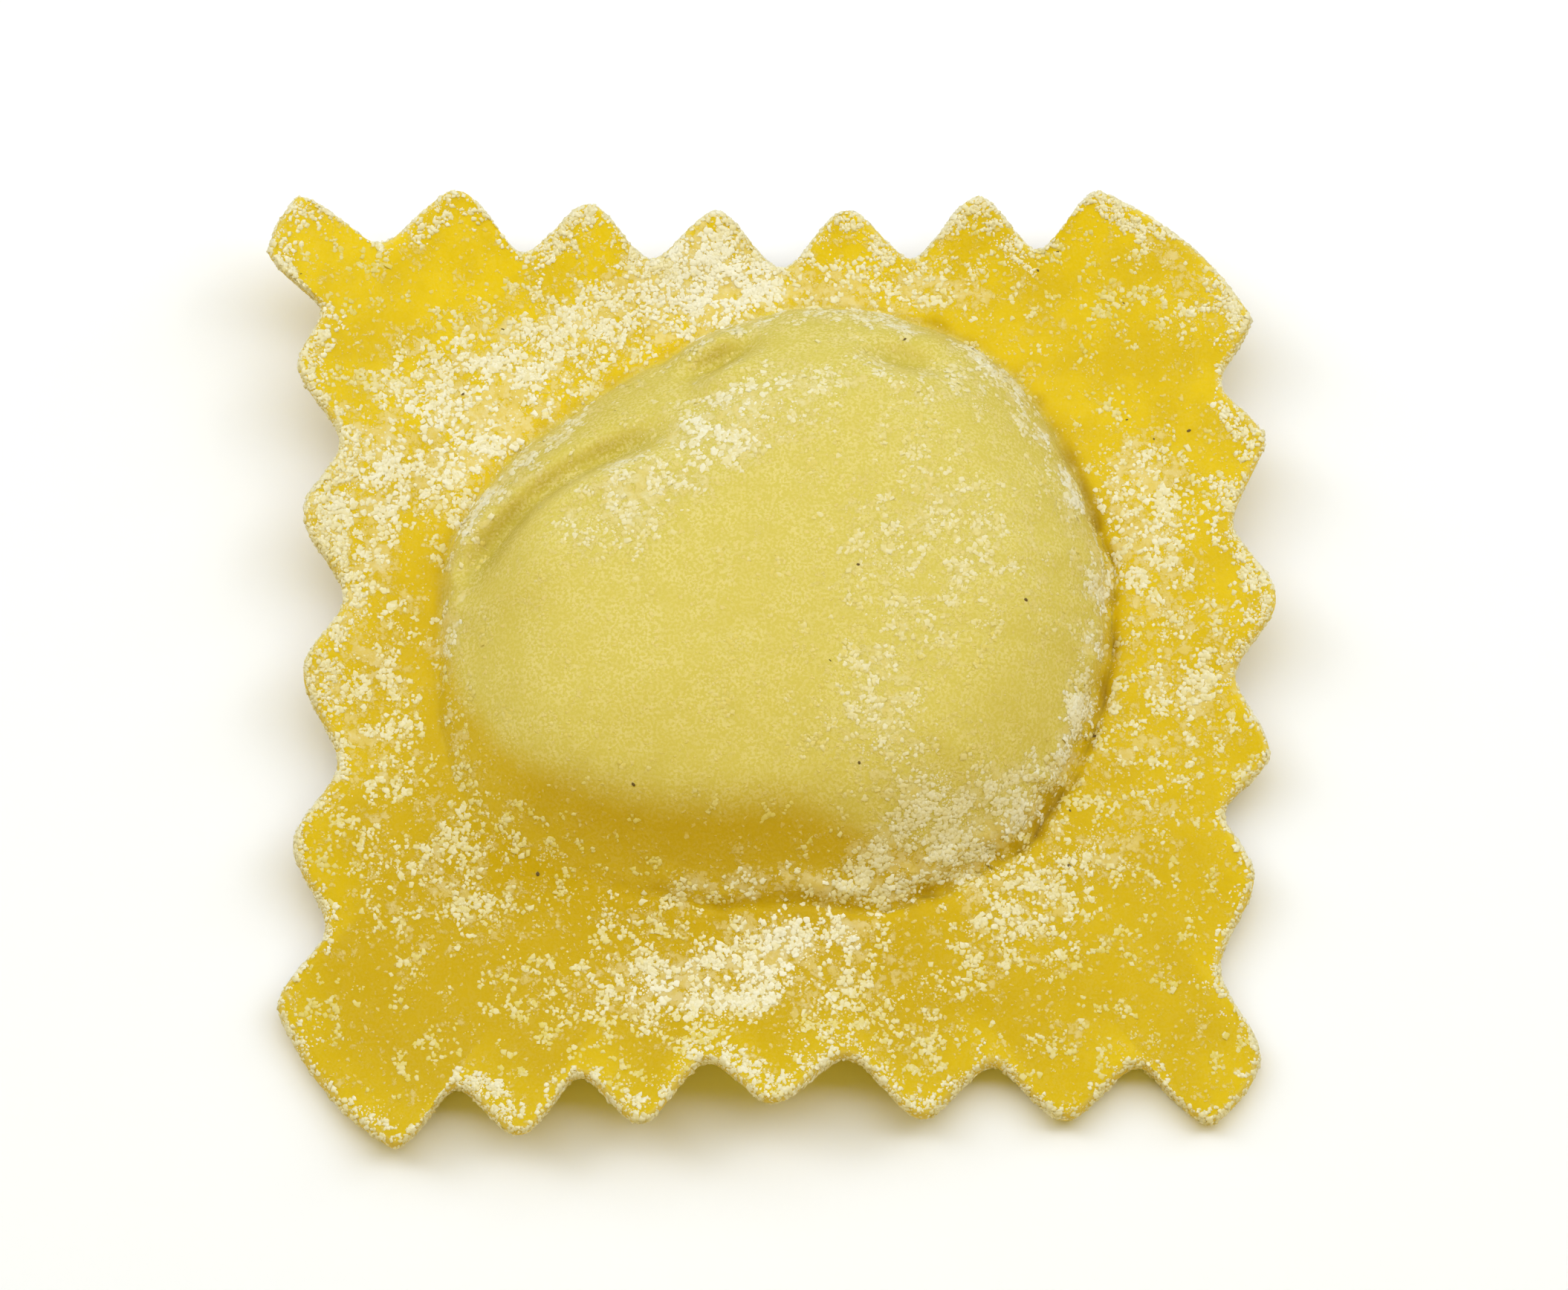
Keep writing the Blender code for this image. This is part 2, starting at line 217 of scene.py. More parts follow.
@dataclass
class FlutedCut:
    """The cut edge, as a fluted wheel leaves it on four sides."""

    sides: tuple[Side, ...] = (
        Side(
            ((24.6, -20.7), (24.4, -11.3), (25.2, -4.9), (25.6, 2.9), (25.1, 11.3), (24.5, 18.0)),
            facing=(1.0, 0.0), notch_depths=(1.9,) * 5, corner_steps=32,
        ),
        Side(
            ((16.7, 24.8), (10.4, 24.6), (3.6, 24.0), (-3.2, 24.0), (-9.8, 24.2), (-16.6, 24.7),
             (-24.8, 24.05)),
            facing=(0.0, 1.0), notch_depths=(2.7,) * 5 + (2.35,), corner_steps=10,
        ),
        Side(
            ((-26.3, 21.15), (-24.8, 15.2), (-24.3, 7.3), (-24.3, -1.1), (-24.7, -9.9), (-25.5, -18.1)),
            facing=(-1.0, 0.0), notch_depths=(2.0,) * 5, corner_steps=28,
        ),
        Side(
            ((-19.5, -25.6), (-13.1, -25.2), (-6.9, -24.7), (-0.2, -23.9), (7.3, -24.1), (14.6, -24.0),
             (22.1, -24.2)),
            facing=(0.0, -1.0), notch_depths=(2.8,) * 6, corner_steps=13,
        ),
    )
    flank_steps: int = 13
    tip_rounding: float = 0.33
    notch_rounding: float = 0.25
    corner_bulge: float = 0.085
    wander: float = 0.1
    unevenness: Noise = Noise(11, (2.6, 1.1), (0.65, 0.35))
    smoothing: float = 0.5

    def flank_drop(self, share: Array) -> Array:
        """How far a flank has dropped on its way from a tip to a notch, round at both ends.

        Args:
            share: shares of the way, from 0 at the tip to 1 at the notch.

        Returns:
            The drop at each, from 0 to 1.
        """
        def rounded(place: Array) -> Array:
            """The drop before it is scaled to run from 0 to 1."""
            return np.hypot(place, self.tip_rounding) - np.hypot(1.0 - place, self.notch_rounding) - place
        start, end = rounded(np.array([0.0, 1.0]))
        return (rounded(share) - start) / (end - start)

    def flank(self, tip: Array, notch: Array, facing: Array) -> Array:
        """Points from a tip to a notch, without the notch.

        Args:
            tip: where the flank starts.
            notch: where it ends.
            facing: the direction out of its side.

        Returns:
            One row of x and y for each point.
        """
        share = np.arange(self.flank_steps) / self.flank_steps
        drop = self.flank_drop(share)
        travelled = np.where(facing != 0.0, drop[:, None], share[:, None])
        return tip + (notch - tip) * travelled

    def side_points(self, side: Side) -> Array:
        """Points along one side, teeth and notches, from its first tip to its last.

        Args:
            side: the side.

        Returns:
            One row of x and y for each point.
        """
        facing = np.array(side.facing)
        tips = np.array(side.tips)
        runs = []
        for tip, following, depth in zip(tips, tips[1:], side.notch_depths):
            notch = (tip + following) / 2.0 - facing * depth
            rising = self.flank(following, notch, facing)
            runs += [self.flank(tip, notch, facing), notch[None, :], rising[:0:-1]]
        return np.vstack(runs + [tips[-1:]])

    def corner_points(self, start: Array, end: Array, steps: int) -> Array:
        """Points between two sides along a shallow outward arc, without its two ends.

        Args:
            start: the last tip of the side before.
            end: the first tip of the side after.
            steps: how many steps the arc has.

        Returns:
            One row of x and y for each point.
        """
        share = (np.arange(1, steps) / steps)[:, None]
        chord = end - start
        out = np.array([chord[1], -chord[0]]) * self.corner_bulge
        return start + chord * share + out * 4.0 * share * (1.0 - share)

    def points(self) -> Array:
        """The whole cut edge, counter-clockwise.

        Returns:
            One row of x and y for each column of the dough.
        """
        runs = []
        for number, side in enumerate(self.sides):
            following = self.sides[(number + 1) % len(self.sides)]
            runs.append(self.side_points(side))
            ends = np.array(side.tips[-1]), np.array(following.tips[0])
            runs.append(self.corner_points(*ends, side.corner_steps))
        smooth = np.vstack(runs)
        shake = self.unevenness.at(smooth[:, 0], smooth[:, 1])
        return smooth + self.outward(smooth) * (shake * self.wander)[:, None]

    def outward(self, points: Array) -> Array:
        """The direction out of the cut edge at each of its points.

        Args:
            points: the points, counter-clockwise.

        Returns:
            One row of x and y for each, of length 1.
        """
        along = np.roll(points, -1, axis=0) - np.roll(points, 1, axis=0)
        along = along + self.smoothing * (np.roll(along, 1, axis=0) + np.roll(along, -1, axis=0))
        along /= np.linalg.norm(along, axis=1)[:, None]
        return np.column_stack([along[:, 1], -along[:, 0]])


@dataclass
class Crease:
    """A buckle in the top sheet. Its direction is in degrees from +X."""

    middle: Plan
    direction: float
    half_length: float
    bow: float
    width: float
    depth: float
    fade_power: float = 1.5

    def across(self, x: Array, y: Array) -> tuple[Array, Array]:
        """Where places are across the crease.

        Args:
            x: places across, in millimetres.
            y: places along, in millimetres.

        Returns:
            How far each is across the crease, in widths, and how strong the crease is there.
        """
        along, side = turned(x, y, self.middle, self.direction)
        fade = np.maximum(0.0, 1.0 - (along / self.half_length) ** 2)
        return (side - self.bow * fade) / self.width, fade ** self.fade_power


@dataclass
class Mound:
    """The filling's mound, under the top sheet.

    The flat side is the direction that it faces, in degrees, and its distance from the centre. Each swell
    of the foot is its middle in degrees, its height in millimetres and its spread in degrees.
    """

    centre: Plan = (0.2, 2.5)
    shoulder_height: float = 4.4
    crown_height: float = 2.4
    radius: float = 16.7
    swells: tuple[tuple[float, float, float], ...] = (
        (212.0, 2.3, 22.0), (172.0, 0.5, 20.0), (52.0, 0.8, 18.0), (268.0, -1.2, 22.0),
    )
    flat_side: Plan = (122.0, 15.1)
    flat_blend: float = 1.2
    least_slant: float = 0.2
    wall_width: Round = (6.0, 7.5, 8.0, 8.0, 7.0, 8.0, 8.0, 7.0)
    wall_crispness: Round = (0.5, 0.45, 0.25, 0.3, 0.5, 0.0, 0.0, 0.45)
    wall_softness: Round = (0.0, 0.0, 0.0, 0.2, 0.2, 1.0, 1.0, 0.2)
    soft_foot: float = 6.6
    soft_share: float = 0.6
    soft_reach: float = 13.0
    foot_wander: float = 0.2
    foot_unevenness: Noise = Noise(51, (3.4, 1.5), (0.6, 0.5))
    gap_place: Round = (0.3, 0.1, 0.0, 0.0, 0.15, 0.0, 0.4, 0.7)
    gap_wander: float = 0.45
    gap_unevenness: Noise = Noise(81, (2.2, 0.9), (0.5, 0.4))
    creases: tuple[Crease, ...] = (
        Crease((-10.9, 7.0), 34.0, 6.8, 1.4, 0.75, 1.15),
        Crease((-14.4, 4.8), 55.0, 3.4, 0.2, 1.3, 1.0),
        Crease((-7.8, 10.0), 20.0, 3.2, 0.2, 1.1, 0.7),
        Crease((-2.95, 15.2), 29.0, 2.8, 0.1, 0.75, 1.4),
        Crease((6.6, 14.9), -12.0, 2.8, 0.1, 0.85, 1.0),
    )
    crease_limit: float = 0.6
    crease_lips: float = 0.4
    lip_place: float = 1.7
    full_fold: float = 1.2

    def polar(self, x: Array, y: Array) -> tuple[Array, Array]:
        """Distance and angle in degrees of each place, from the mound's centre."""
        away = x - self.centre[0], y - self.centre[1]
        return np.hypot(*away), np.degrees(np.arctan2(away[1], away[0]))

    def along_foot(self, hills: Noise, angle: Array) -> Array:
        """Height of random hills along the foot, at each angle in degrees."""
        turn = np.radians(angle)
        return hills.at(self.radius * np.cos(turn), self.radius * np.sin(turn))

    def foot_radius(self, angle: Array) -> Array:
        """Distance from the mound's centre to its foot.

        Args:
            angle: angles in degrees.

        Returns:
            The distance at each angle, in millimetres.
        """
        radius = np.full_like(angle, self.radius)
        for middle, swell, spread in self.swells:
            turn = np.mod(angle - middle + 180.0, 360.0) - 180.0
            radius += swell * np.exp(-(turn / spread) ** 2)
        faces, distance = self.flat_side
        slant = np.maximum(np.cos(np.radians(angle - faces)), self.least_slant)
        soft = np.exp(-radius / self.flat_blend) + np.exp(-distance / slant / self.flat_blend)
        shake = self.along_foot(self.foot_unevenness, angle)
        return self.foot_wander * shake - self.flat_blend * np.log(soft)

    def past_gap(self, past_foot: Array, angle: Array) -> Array:
        """How far each place is past the uneven gap that runs along the foot."""
        shake = self.along_foot(self.gap_unevenness, angle)
        return past_foot - around(self.gap_place, angle) - self.gap_wander * shake

    def rise(self, share: Array, angle: Array) -> Array:
        """Height above the root.

        Args:
            share: shares of the way from the centre (0) to the foot (1).
            angle: angles in degrees.

        Returns:
            The height at each place, in millimetres.
        """
        inside = self.foot_radius(angle) * (1.0 - share)
        up = np.clip(inside / around(self.wall_width, angle), 0.0, 1.0)
        blend = around(self.wall_crispness, angle)
        steep = np.sqrt(1.0 - (1.0 - up) ** 2) * blend + np.sin(up * math.pi / 2.0) * (1.0 - blend)
        along = np.clip(inside / self.soft_reach, 0.0, 1.0)
        soft = np.sin(along * math.pi / 2.0)
        soft += (gentle(inside / self.soft_foot) - soft) * self.soft_share
        softness = around(self.wall_softness, angle)
        wall = steep * (1.0 - softness) + soft * softness
        return self.shoulder_height * wall + self.crown_height * (1.0 - share ** 2)

    def crease_depth(self, x: Array, y: Array) -> Array:
        """Depth of the creases, below zero on their lips.

        Args:
            x: places across, in millimetres.
            y: places along, in millimetres.

        Returns:
            The depth at each place, in millimetres.
        """
        depth = np.zeros_like(x)
        for crease in self.creases:
            across, strength = crease.across(x, y)
            lips = self.crease_lips * np.exp(-(np.abs(across) - self.lip_place) ** 2)
            depth += crease.depth * strength * (np.exp(-across ** 2) - lips)
        return depth

    def fold(self, x: Array, y: Array) -> Array:
        """How deep in a crease each place is, from 0 to 1."""
        return np.clip(self.crease_depth(x, y) / self.full_fold, 0.0, 1.0)


@dataclass
class Border:
    """The two sheets pressed together round the mound, curling off the table."""

    belly_depth: float = 0.9
    root_thickness: float = 1.9
    rim_thickness: float = 1.4
    rim_lift: Round = (
        1.7, 2.0, 2.3, 1.75, 1.2, 2.2, 2.6, 2.8, 2.3, 1.0, -0.6, 1.5, 3.1, -0.4, -0.7, 0.4,
    )
    lift_power: float = 1.6
    skirt_height: Round = (0.0, 0.0, 0.0, 0.0, 0.1, 1.3, 1.2, 0.15)
    skirt_inside: float = 7.0
    skirt_outside: float = 3.2
    half_side: float = 24.0
    squareness: float = 8.0
    least_square: float = 0.01
    least_width: float = 0.5

    def skirt(self, past_foot: Array, angle: Array) -> Array:
        """Height added where the top sheet runs off the mound without a foot.

        Args:
            past_foot: how far each place is past the foot, in millimetres.
            angle: its angle from the mound's centre, in degrees.

        Returns:
            The height at each place, in millimetres.
        """
        inside = 1.0 - gentle(-past_foot / self.skirt_inside)
        outside = np.exp(-np.maximum(past_foot, 0.0) / self.skirt_outside)
        return around(self.skirt_height, angle) * np.where(past_foot < 0.0, inside, outside)

    def share(self, past_foot: Array, x: Array, y: Array) -> Array:
        """How far out over the border places are.

        Args:
            past_foot: how far each place is past the foot, in millimetres.
            x: places across, in millimetres.
            y: places along, in millimetres.

        Returns:
            0 at the foot, 1 along the line of the teeth.
        """
        powers = np.abs(x / self.half_side) ** self.squareness + np.abs(y / self.half_side) ** self.squareness
        square = np.maximum(powers ** (1.0 / self.squareness), self.least_square)
        to_teeth = np.hypot(x, y) * (1.0 / square - 1.0)
        return past_foot / np.maximum(past_foot + to_teeth, self.least_width)


class Zone(Enum):
    """The zones of the dough that a line from the crown to the middle of the belly runs through."""

    MOUND = 46
    BORDER = 42
    RIM = 10
    UNDERSIDE = 22
    BELLY = 14


@dataclass
class Dough:
    """The two sheets of egg dough with the filling between them, as one closed skin.

    It starts as a sphere, whose meridians become the lines from the crown over the border and back under
    the belly, one through each point of the fluted cut.
    """

    cut: FlutedCut = field(default_factory=FlutedCut)
    mound: Mound = field(default_factory=Mound)
    border: Border = field(default_factory=Border)
    bevel: float = 0.38
    bevel_drop: float = 0.45
    under_bevel: float = 0.5
    under_level: float = 0.3
    steepest_flank: float = 0.4
    seam: float = 0.12
    seam_taper: float = 0.7
    seam_levels: Plan = (0.46, 0.42)
    groove_depth: Round = (0.6, 0.3, 0.15, 0.3, 0.15, 0.0, 0.3, 0.8)
    groove_width: float = 0.28
    belly_flat: float = 0.72
    pressed: Noise = Noise(21, (7.0, 3.1, 1.3), (0.16, 0.07, 0.03))
    stretched: Noise = Noise(31, (8.0, 3.6, 1.2), (0.16, 0.05, 0.02))
    foot_blend: float = 3.0
    relief_reach: float = 1.25
    heap_height: float = 0.14
    heap_from: float = 0.55
    heap_over: float = 0.4
    clumps: Noise = Noise(61, (1.6, 0.8), (0.6, 0.5))
    clump_rise: float = 0.2
    bank_height: Round = (0.4, 0.25, 0.0, 0.0, 0.2, 0.0, 0.2, 0.65)
    bank_place: float = 0.75
    bank_width: float = 0.6
    lumps: Noise = Noise(62, (1.2, 0.55), (0.55, 0.6))
    lump_rise: float = 0.45
    lump_limit: float = 1.3
    edge_width: float = 0.6
    bare_wall: Round = (0.0, 0.0, 0.0, 0.0, 0.0, 3.8, 4.1, 0.4)
    bare_softness: float = 0.5
    bare_full: float = 3.0
    # Painted shade on the mound's back wall, carried by the fold mark.
    wall_shade: Round = (0.05, 0.25, 0.4, 0.3, 0.1, 0.0, 0.0, 0.1)
    shade_reach: float = 5.0
    thin_film: float = 0.12
    dust_below: float = 0.15
    # Deeper gold round the turn: partly the dough's own colour, partly painted shade towards the front and
    # beside the mound's left foot.
    tone_and_shade: Round = (0.3, 0.2, 0.15, 0.0, 0.55, 0.95, 1.0, 0.65)
    # Painted shade: how strongly the dark line is drawn in the gap along the mound's foot at each angle.
    gap_shade: Round = (0.75, 0.35, 0.0, 0.1, 0.15, 0.0, 0.3, 0.9)
    # Painted light: the deep gold fades near the cut edge, so the raised teeth look lit.
    tip_light: float = 0.55
    tip_reach: float = 3.8
    # Painted shade: deep gold on the mound's bare front wall and on the border just in front of it.
    front_shade: float = 0.75
    front_reach: float = 5.0

    def __post_init__(self) -> None:
        """Works out the cut edge once, and where the middle of its box is."""
        self.edge = self.cut.points()
        self.normals = self.cut.outward(self.edge)
        self.middle = (self.edge.min(axis=0) + self.edge.max(axis=0)) / 2.0

    def stations(self) -> tuple[Array, Array, Array]:
        """Where each ring of the skin is.

        Returns:
            Its reach (0 at the middle, 1 at the foot, 2 at the cut), its inset from the cut in
            millimetres, and its level from underside (0) to top (1).
        """
        t = np.linspace(0.0, 1.0, Zone.MOUND.value + 1)[:-1]
        mound = 0.5 * t + 0.5 * np.sin(t * math.pi / 2.0)
        border = 1.0 + np.linspace(0.0, 1.0, Zone.BORDER.value + 1)
        turn = np.linspace(0.0, math.pi / 2.0, Zone.RIM.value // 2)[1:]
        upper_inset = self.bevel * (1.0 - np.sin(turn))
        upper_level = 1.0 - self.bevel_drop * (1.0 - np.cos(turn))
        middle_inset = np.array([self.seam, self.seam * self.seam_taper])
        middle_level = np.array(self.seam_levels)
        lower_inset = self.seam + (self.under_bevel - self.seam) * (1.0 - np.cos(turn))
        lower_level = self.under_level * (1.0 - np.sin(turn))
        underside = 1.0 + np.linspace(1.0, 0.0, Zone.UNDERSIDE.value + 1)[1:]
        belly = np.linspace(1.0, 0.0, Zone.BELLY.value + 1)[1:]
        rim_count = Zone.RIM.value
        reach = np.concatenate([mound, border, np.full(rim_count, 2.0), underside, belly])
        inset = np.concatenate([
            np.zeros(len(mound)), np.full(len(border), self.bevel), upper_inset, middle_inset, lower_inset,
            np.full(len(underside), self.under_bevel), np.zeros(len(belly)),
        ])
        level = np.concatenate([
            np.ones(len(mound) + len(border)), upper_level, middle_level, lower_level,
            np.zeros(len(underside) + len(belly)),
        ])
        return reach, inset, level

    def plan(self, column: Array, reach: Array, inset: Array) -> tuple[Array, Array]:
        """Plan places of points on the skin.

        Args:
            column: which point of the cut edge each is on the line to.
            reach: how far out each is: 0 at the middle, 1 at the foot, 2 at the cut.
            inset: how far in from the cut each would be at its reach of 2, in millimetres.

        Returns:
            Their x and their y, in millimetres.
        """
        edge = self.edge[column]
        away = edge - np.array(self.mound.centre)
        inward = away / np.linalg.norm(away, axis=1)[:, None]
        facing = np.maximum(np.sum(inward * self.normals[column], axis=1), self.steepest_flank)
        away = away - inward * (inset / facing)[:, None]
        angle = np.degrees(np.arctan2(away[:, 1], away[:, 0]))
        foot = away / np.linalg.norm(away, axis=1)[:, None] * self.mound.foot_radius(angle)[:, None]
        over_mound = foot * np.minimum(reach, 1.0)[:, None]
        over_border = (away - foot) * np.maximum(reach - 1.0, 0.0)[:, None]
        place = np.array(self.mound.centre) + over_mound + over_border
        return place[:, 0], place[:, 1]

    def heights(self, x: Array, y: Array) -> tuple[Array, Array]:
        """Heights of the underside and the top, without the fine relief.

        Args:
            x: places across, in millimetres.
            y: places along, in millimetres.

        Returns:
            The underside's height and the top's height at each place, in millimetres.
        """
        distance, angle = self.mound.polar(x, y)
        foot = self.mound.foot_radius(angle)
        share = np.minimum(distance / foot, 1.0)
        past = np.maximum(distance - foot, 0.0)
        root = self.border.belly_depth + self.border.root_thickness
        away = np.abs(self.mound.past_gap(distance - foot, angle))
        groove = around(self.groove_depth, angle) * np.exp(-away / self.groove_width)
        rise = self.mound.rise(share, angle)
        crease = np.minimum(self.mound.crease_depth(x, y), self.mound.crease_limit * rise)
        mound_top = root + rise - crease
        slope = np.maximum(0.0, (share - self.belly_flat) / (1.0 - self.belly_flat))
        belly = self.border.belly_depth * slope ** 2
        out = self.border.share(past, x, y)
        lift = around(self.border.rim_lift, angle) * np.maximum(out, 0.0) ** self.border.lift_power
        border_under = self.border.belly_depth + lift
        thinning = self.border.rim_thickness - self.border.root_thickness
        thickness = self.border.root_thickness + thinning * out
        on_border = past > 0.0
        under = np.where(on_border, border_under, belly)
        top = np.where(on_border, border_under + thickness, mound_top) - groove
        top += self.border.skirt(distance - foot, angle)
        return under, top

    def heaps(self, x: Array, y: Array, cover: Array) -> Array:
        """How high semolina is heaped where it lies thickest, and banked up against the mound's foot.

        Args:
            x: places across, in millimetres.
            y: places along, in millimetres.
            cover: the share of each place that semolina covers.

        Returns:
            The height at each place, in millimetres.
        """
        distance, angle = self.mound.polar(x, y)
        past = self.mound.past_gap(distance - self.mound.foot_radius(angle), angle)
        clumps = np.maximum(0.0, self.clumps.at(x, y) + self.clump_rise)
        lumps = np.clip(self.lumps.at(x, y) + self.lump_rise, 0.0, self.lump_limit)
        bank = np.exp(-((past + self.bank_place) / self.bank_width) ** 2) * lumps
        heaped = self.heap_height * eased((cover - self.heap_from) / self.heap_over) * clumps
        return heaped + around(self.bank_height, angle) * bank

    def relief(self, x: Array, y: Array) -> Array:
        """The fine unevenness of the rolled and pressed top sheet.

        Args:
            x: places across, in millimetres.
            y: places along, in millimetres.

        Returns:
            The height at each place, in millimetres.
        """
        distance, angle = self.mound.polar(x, y)
        on_mound = eased((self.mound.foot_radius(angle) - distance) / self.foot_blend + 0.5)
        return self.pressed.at(x, y) * (1.0 - on_mound) + self.stretched.at(x, y) * on_mound

    def build(self, dusting: "Dusting") -> Piece:
        """Makes the skin.

        Args:
            dusting: where semolina lies, which the skin rises under.

        Returns:
            The finished object, at the origin.
        """
        reach, inset, level = self.stations()
        rings, columns = len(reach) - 1, len(self.edge)
        bm = bmesh.new()
        bmesh.ops.create_uvsphere(bm, u_segments=columns, v_segments=rings, radius=1.0)
        mesh = made_mesh("dough", bm)
        sphere = np.empty(len(mesh.vertices) * 3)
        mesh.vertices.foreach_get("co", sphere)
        sphere = sphere.reshape(-1, 3)
        turn = np.arctan2(sphere[:, 1], sphere[:, 0]) / (2.0 * math.pi) * columns
        column = np.round(turn).astype(int) % columns
        ring = np.round(np.arccos(np.clip(sphere[:, 2], -1.0, 1.0)) / math.pi * rings).astype(int)
        x, y = self.plan(column, reach[ring], inset[ring])
        under, top = self.heights(x, y)
        top_relief = self.relief(x, y) + self.heaps(x, y, dusting.cover(x, y))
        z = under + (top - under) * level[ring] + top_relief * eased(level[ring] * self.relief_reach)
        places = np.column_stack([x - self.middle[0], y - self.middle[1], z]) * MM
        mesh.vertices.foreach_set("co", places.ravel())
        mesh.update()
        mesh.shade_smooth()
        self.ring, self.places = ring, places
        away = np.linalg.norm(self.edge - np.array(self.mound.centre), axis=1)[column]
        self.edge_distance = away - self.mound.foot_radius(self.mound.polar(x, y)[1])
        return placed("dough", mesh)

    def mark(self, piece: Piece, dusting: "Dusting") -> None:
        """Stores on the skin what its finish and the grains read, as values from 0 to 1, among them masks of
        painted shade and painted light.

        Args:
            piece: the skin.
            dusting: where semolina lies on it.
        """
        x = self.places[:, 0] / MM + self.middle[0]
        y = self.places[:, 1] / MM + self.middle[1]
        distance, angle = self.mound.polar(x, y)
        top_count = Zone.MOUND.value + Zone.BORDER.value
        on_top = self.ring <= top_count
        on_rim = (self.ring > top_count) & (self.ring <= top_count + Zone.RIM.value)
        inside = self.mound.foot_radius(angle) - distance
        bare_front = around(self.bare_wall, angle)
        on_mound = eased((inside - bare_front) / (1.0 + bare_front * self.bare_softness) + 0.5)
        on_mound = np.maximum(on_mound, self.thin_film * eased(inside + 0.5)) * on_top
        shade = around(self.wall_shade, angle) * np.exp(-(inside / self.shade_reach) ** 2)
        front = np.exp(-(np.maximum(0.0, -inside) / self.front_reach) ** 2)
        clear = dusting.kept_clear(-inside, angle)
        to_edge = (2.0 - self.stations()[0][self.ring]) * self.edge_distance
        # Deeper gold: partly the dough's own colour, partly painted shade; lightened near the cut edge as
        # painted light.
        tone_and_shade = around(self.tone_and_shade, angle) * (1.0 - self.tip_light * eased(1.0 - to_edge / self.tip_reach))
        # Painted shade on the mound's front wall and the border before it.
        tone_and_shade = np.maximum(tone_and_shade, self.front_shade * eased(bare_front / self.bare_full) * front)
        marks = {
            "mound": on_mound,
            "rim": on_rim.astype(float),
            # Painted shade: darker in the creases and on the mound's back wall.
            "fold": np.maximum(self.mound.fold(x, y), shade) * on_mound,
            # Painted shade: a dark line in the bare gap along the mound's foot.
            "gap": around(self.gap_shade, angle) * clear * on_top,
            "dust": dusting.cover(x, y) * np.where(on_top | on_rim, 1.0, self.dust_below),
            # The bare gap along the foot is also painted deep gold as shade.
            "tone_and_shade": np.maximum(tone_and_shade, clear),
            "edge": eased(2.0 - to_edge / self.edge_width),
        }
        for name, values in marks.items():
            layer = piece.data.attributes.new(name, "FLOAT", "POINT")
            layer.data.foreach_set("value", values.astype(np.float32))


# The semolina


@dataclass
class Patch:
    """A place where more semolina fell: its middle, half length, half width, turn and cover."""

    x: float
    y: float
    length: float
    width: float
    turn: float
    cover: float
    edge_power: float = 2.5

    def weight(self, x: Array, y: Array) -> Array:
        """How much of the patch's cover places have.

        Args:
            x: places across, in millimetres.
            y: places along, in millimetres.

        Returns:
            The share at each place, near 1 inside the patch.
        """
        along, across = turned(x, y, (self.x, self.y), self.turn)
        return 1.0 / (1.0 + ((along / self.length) ** 2 + (across / self.width) ** 2) ** self.edge_power)


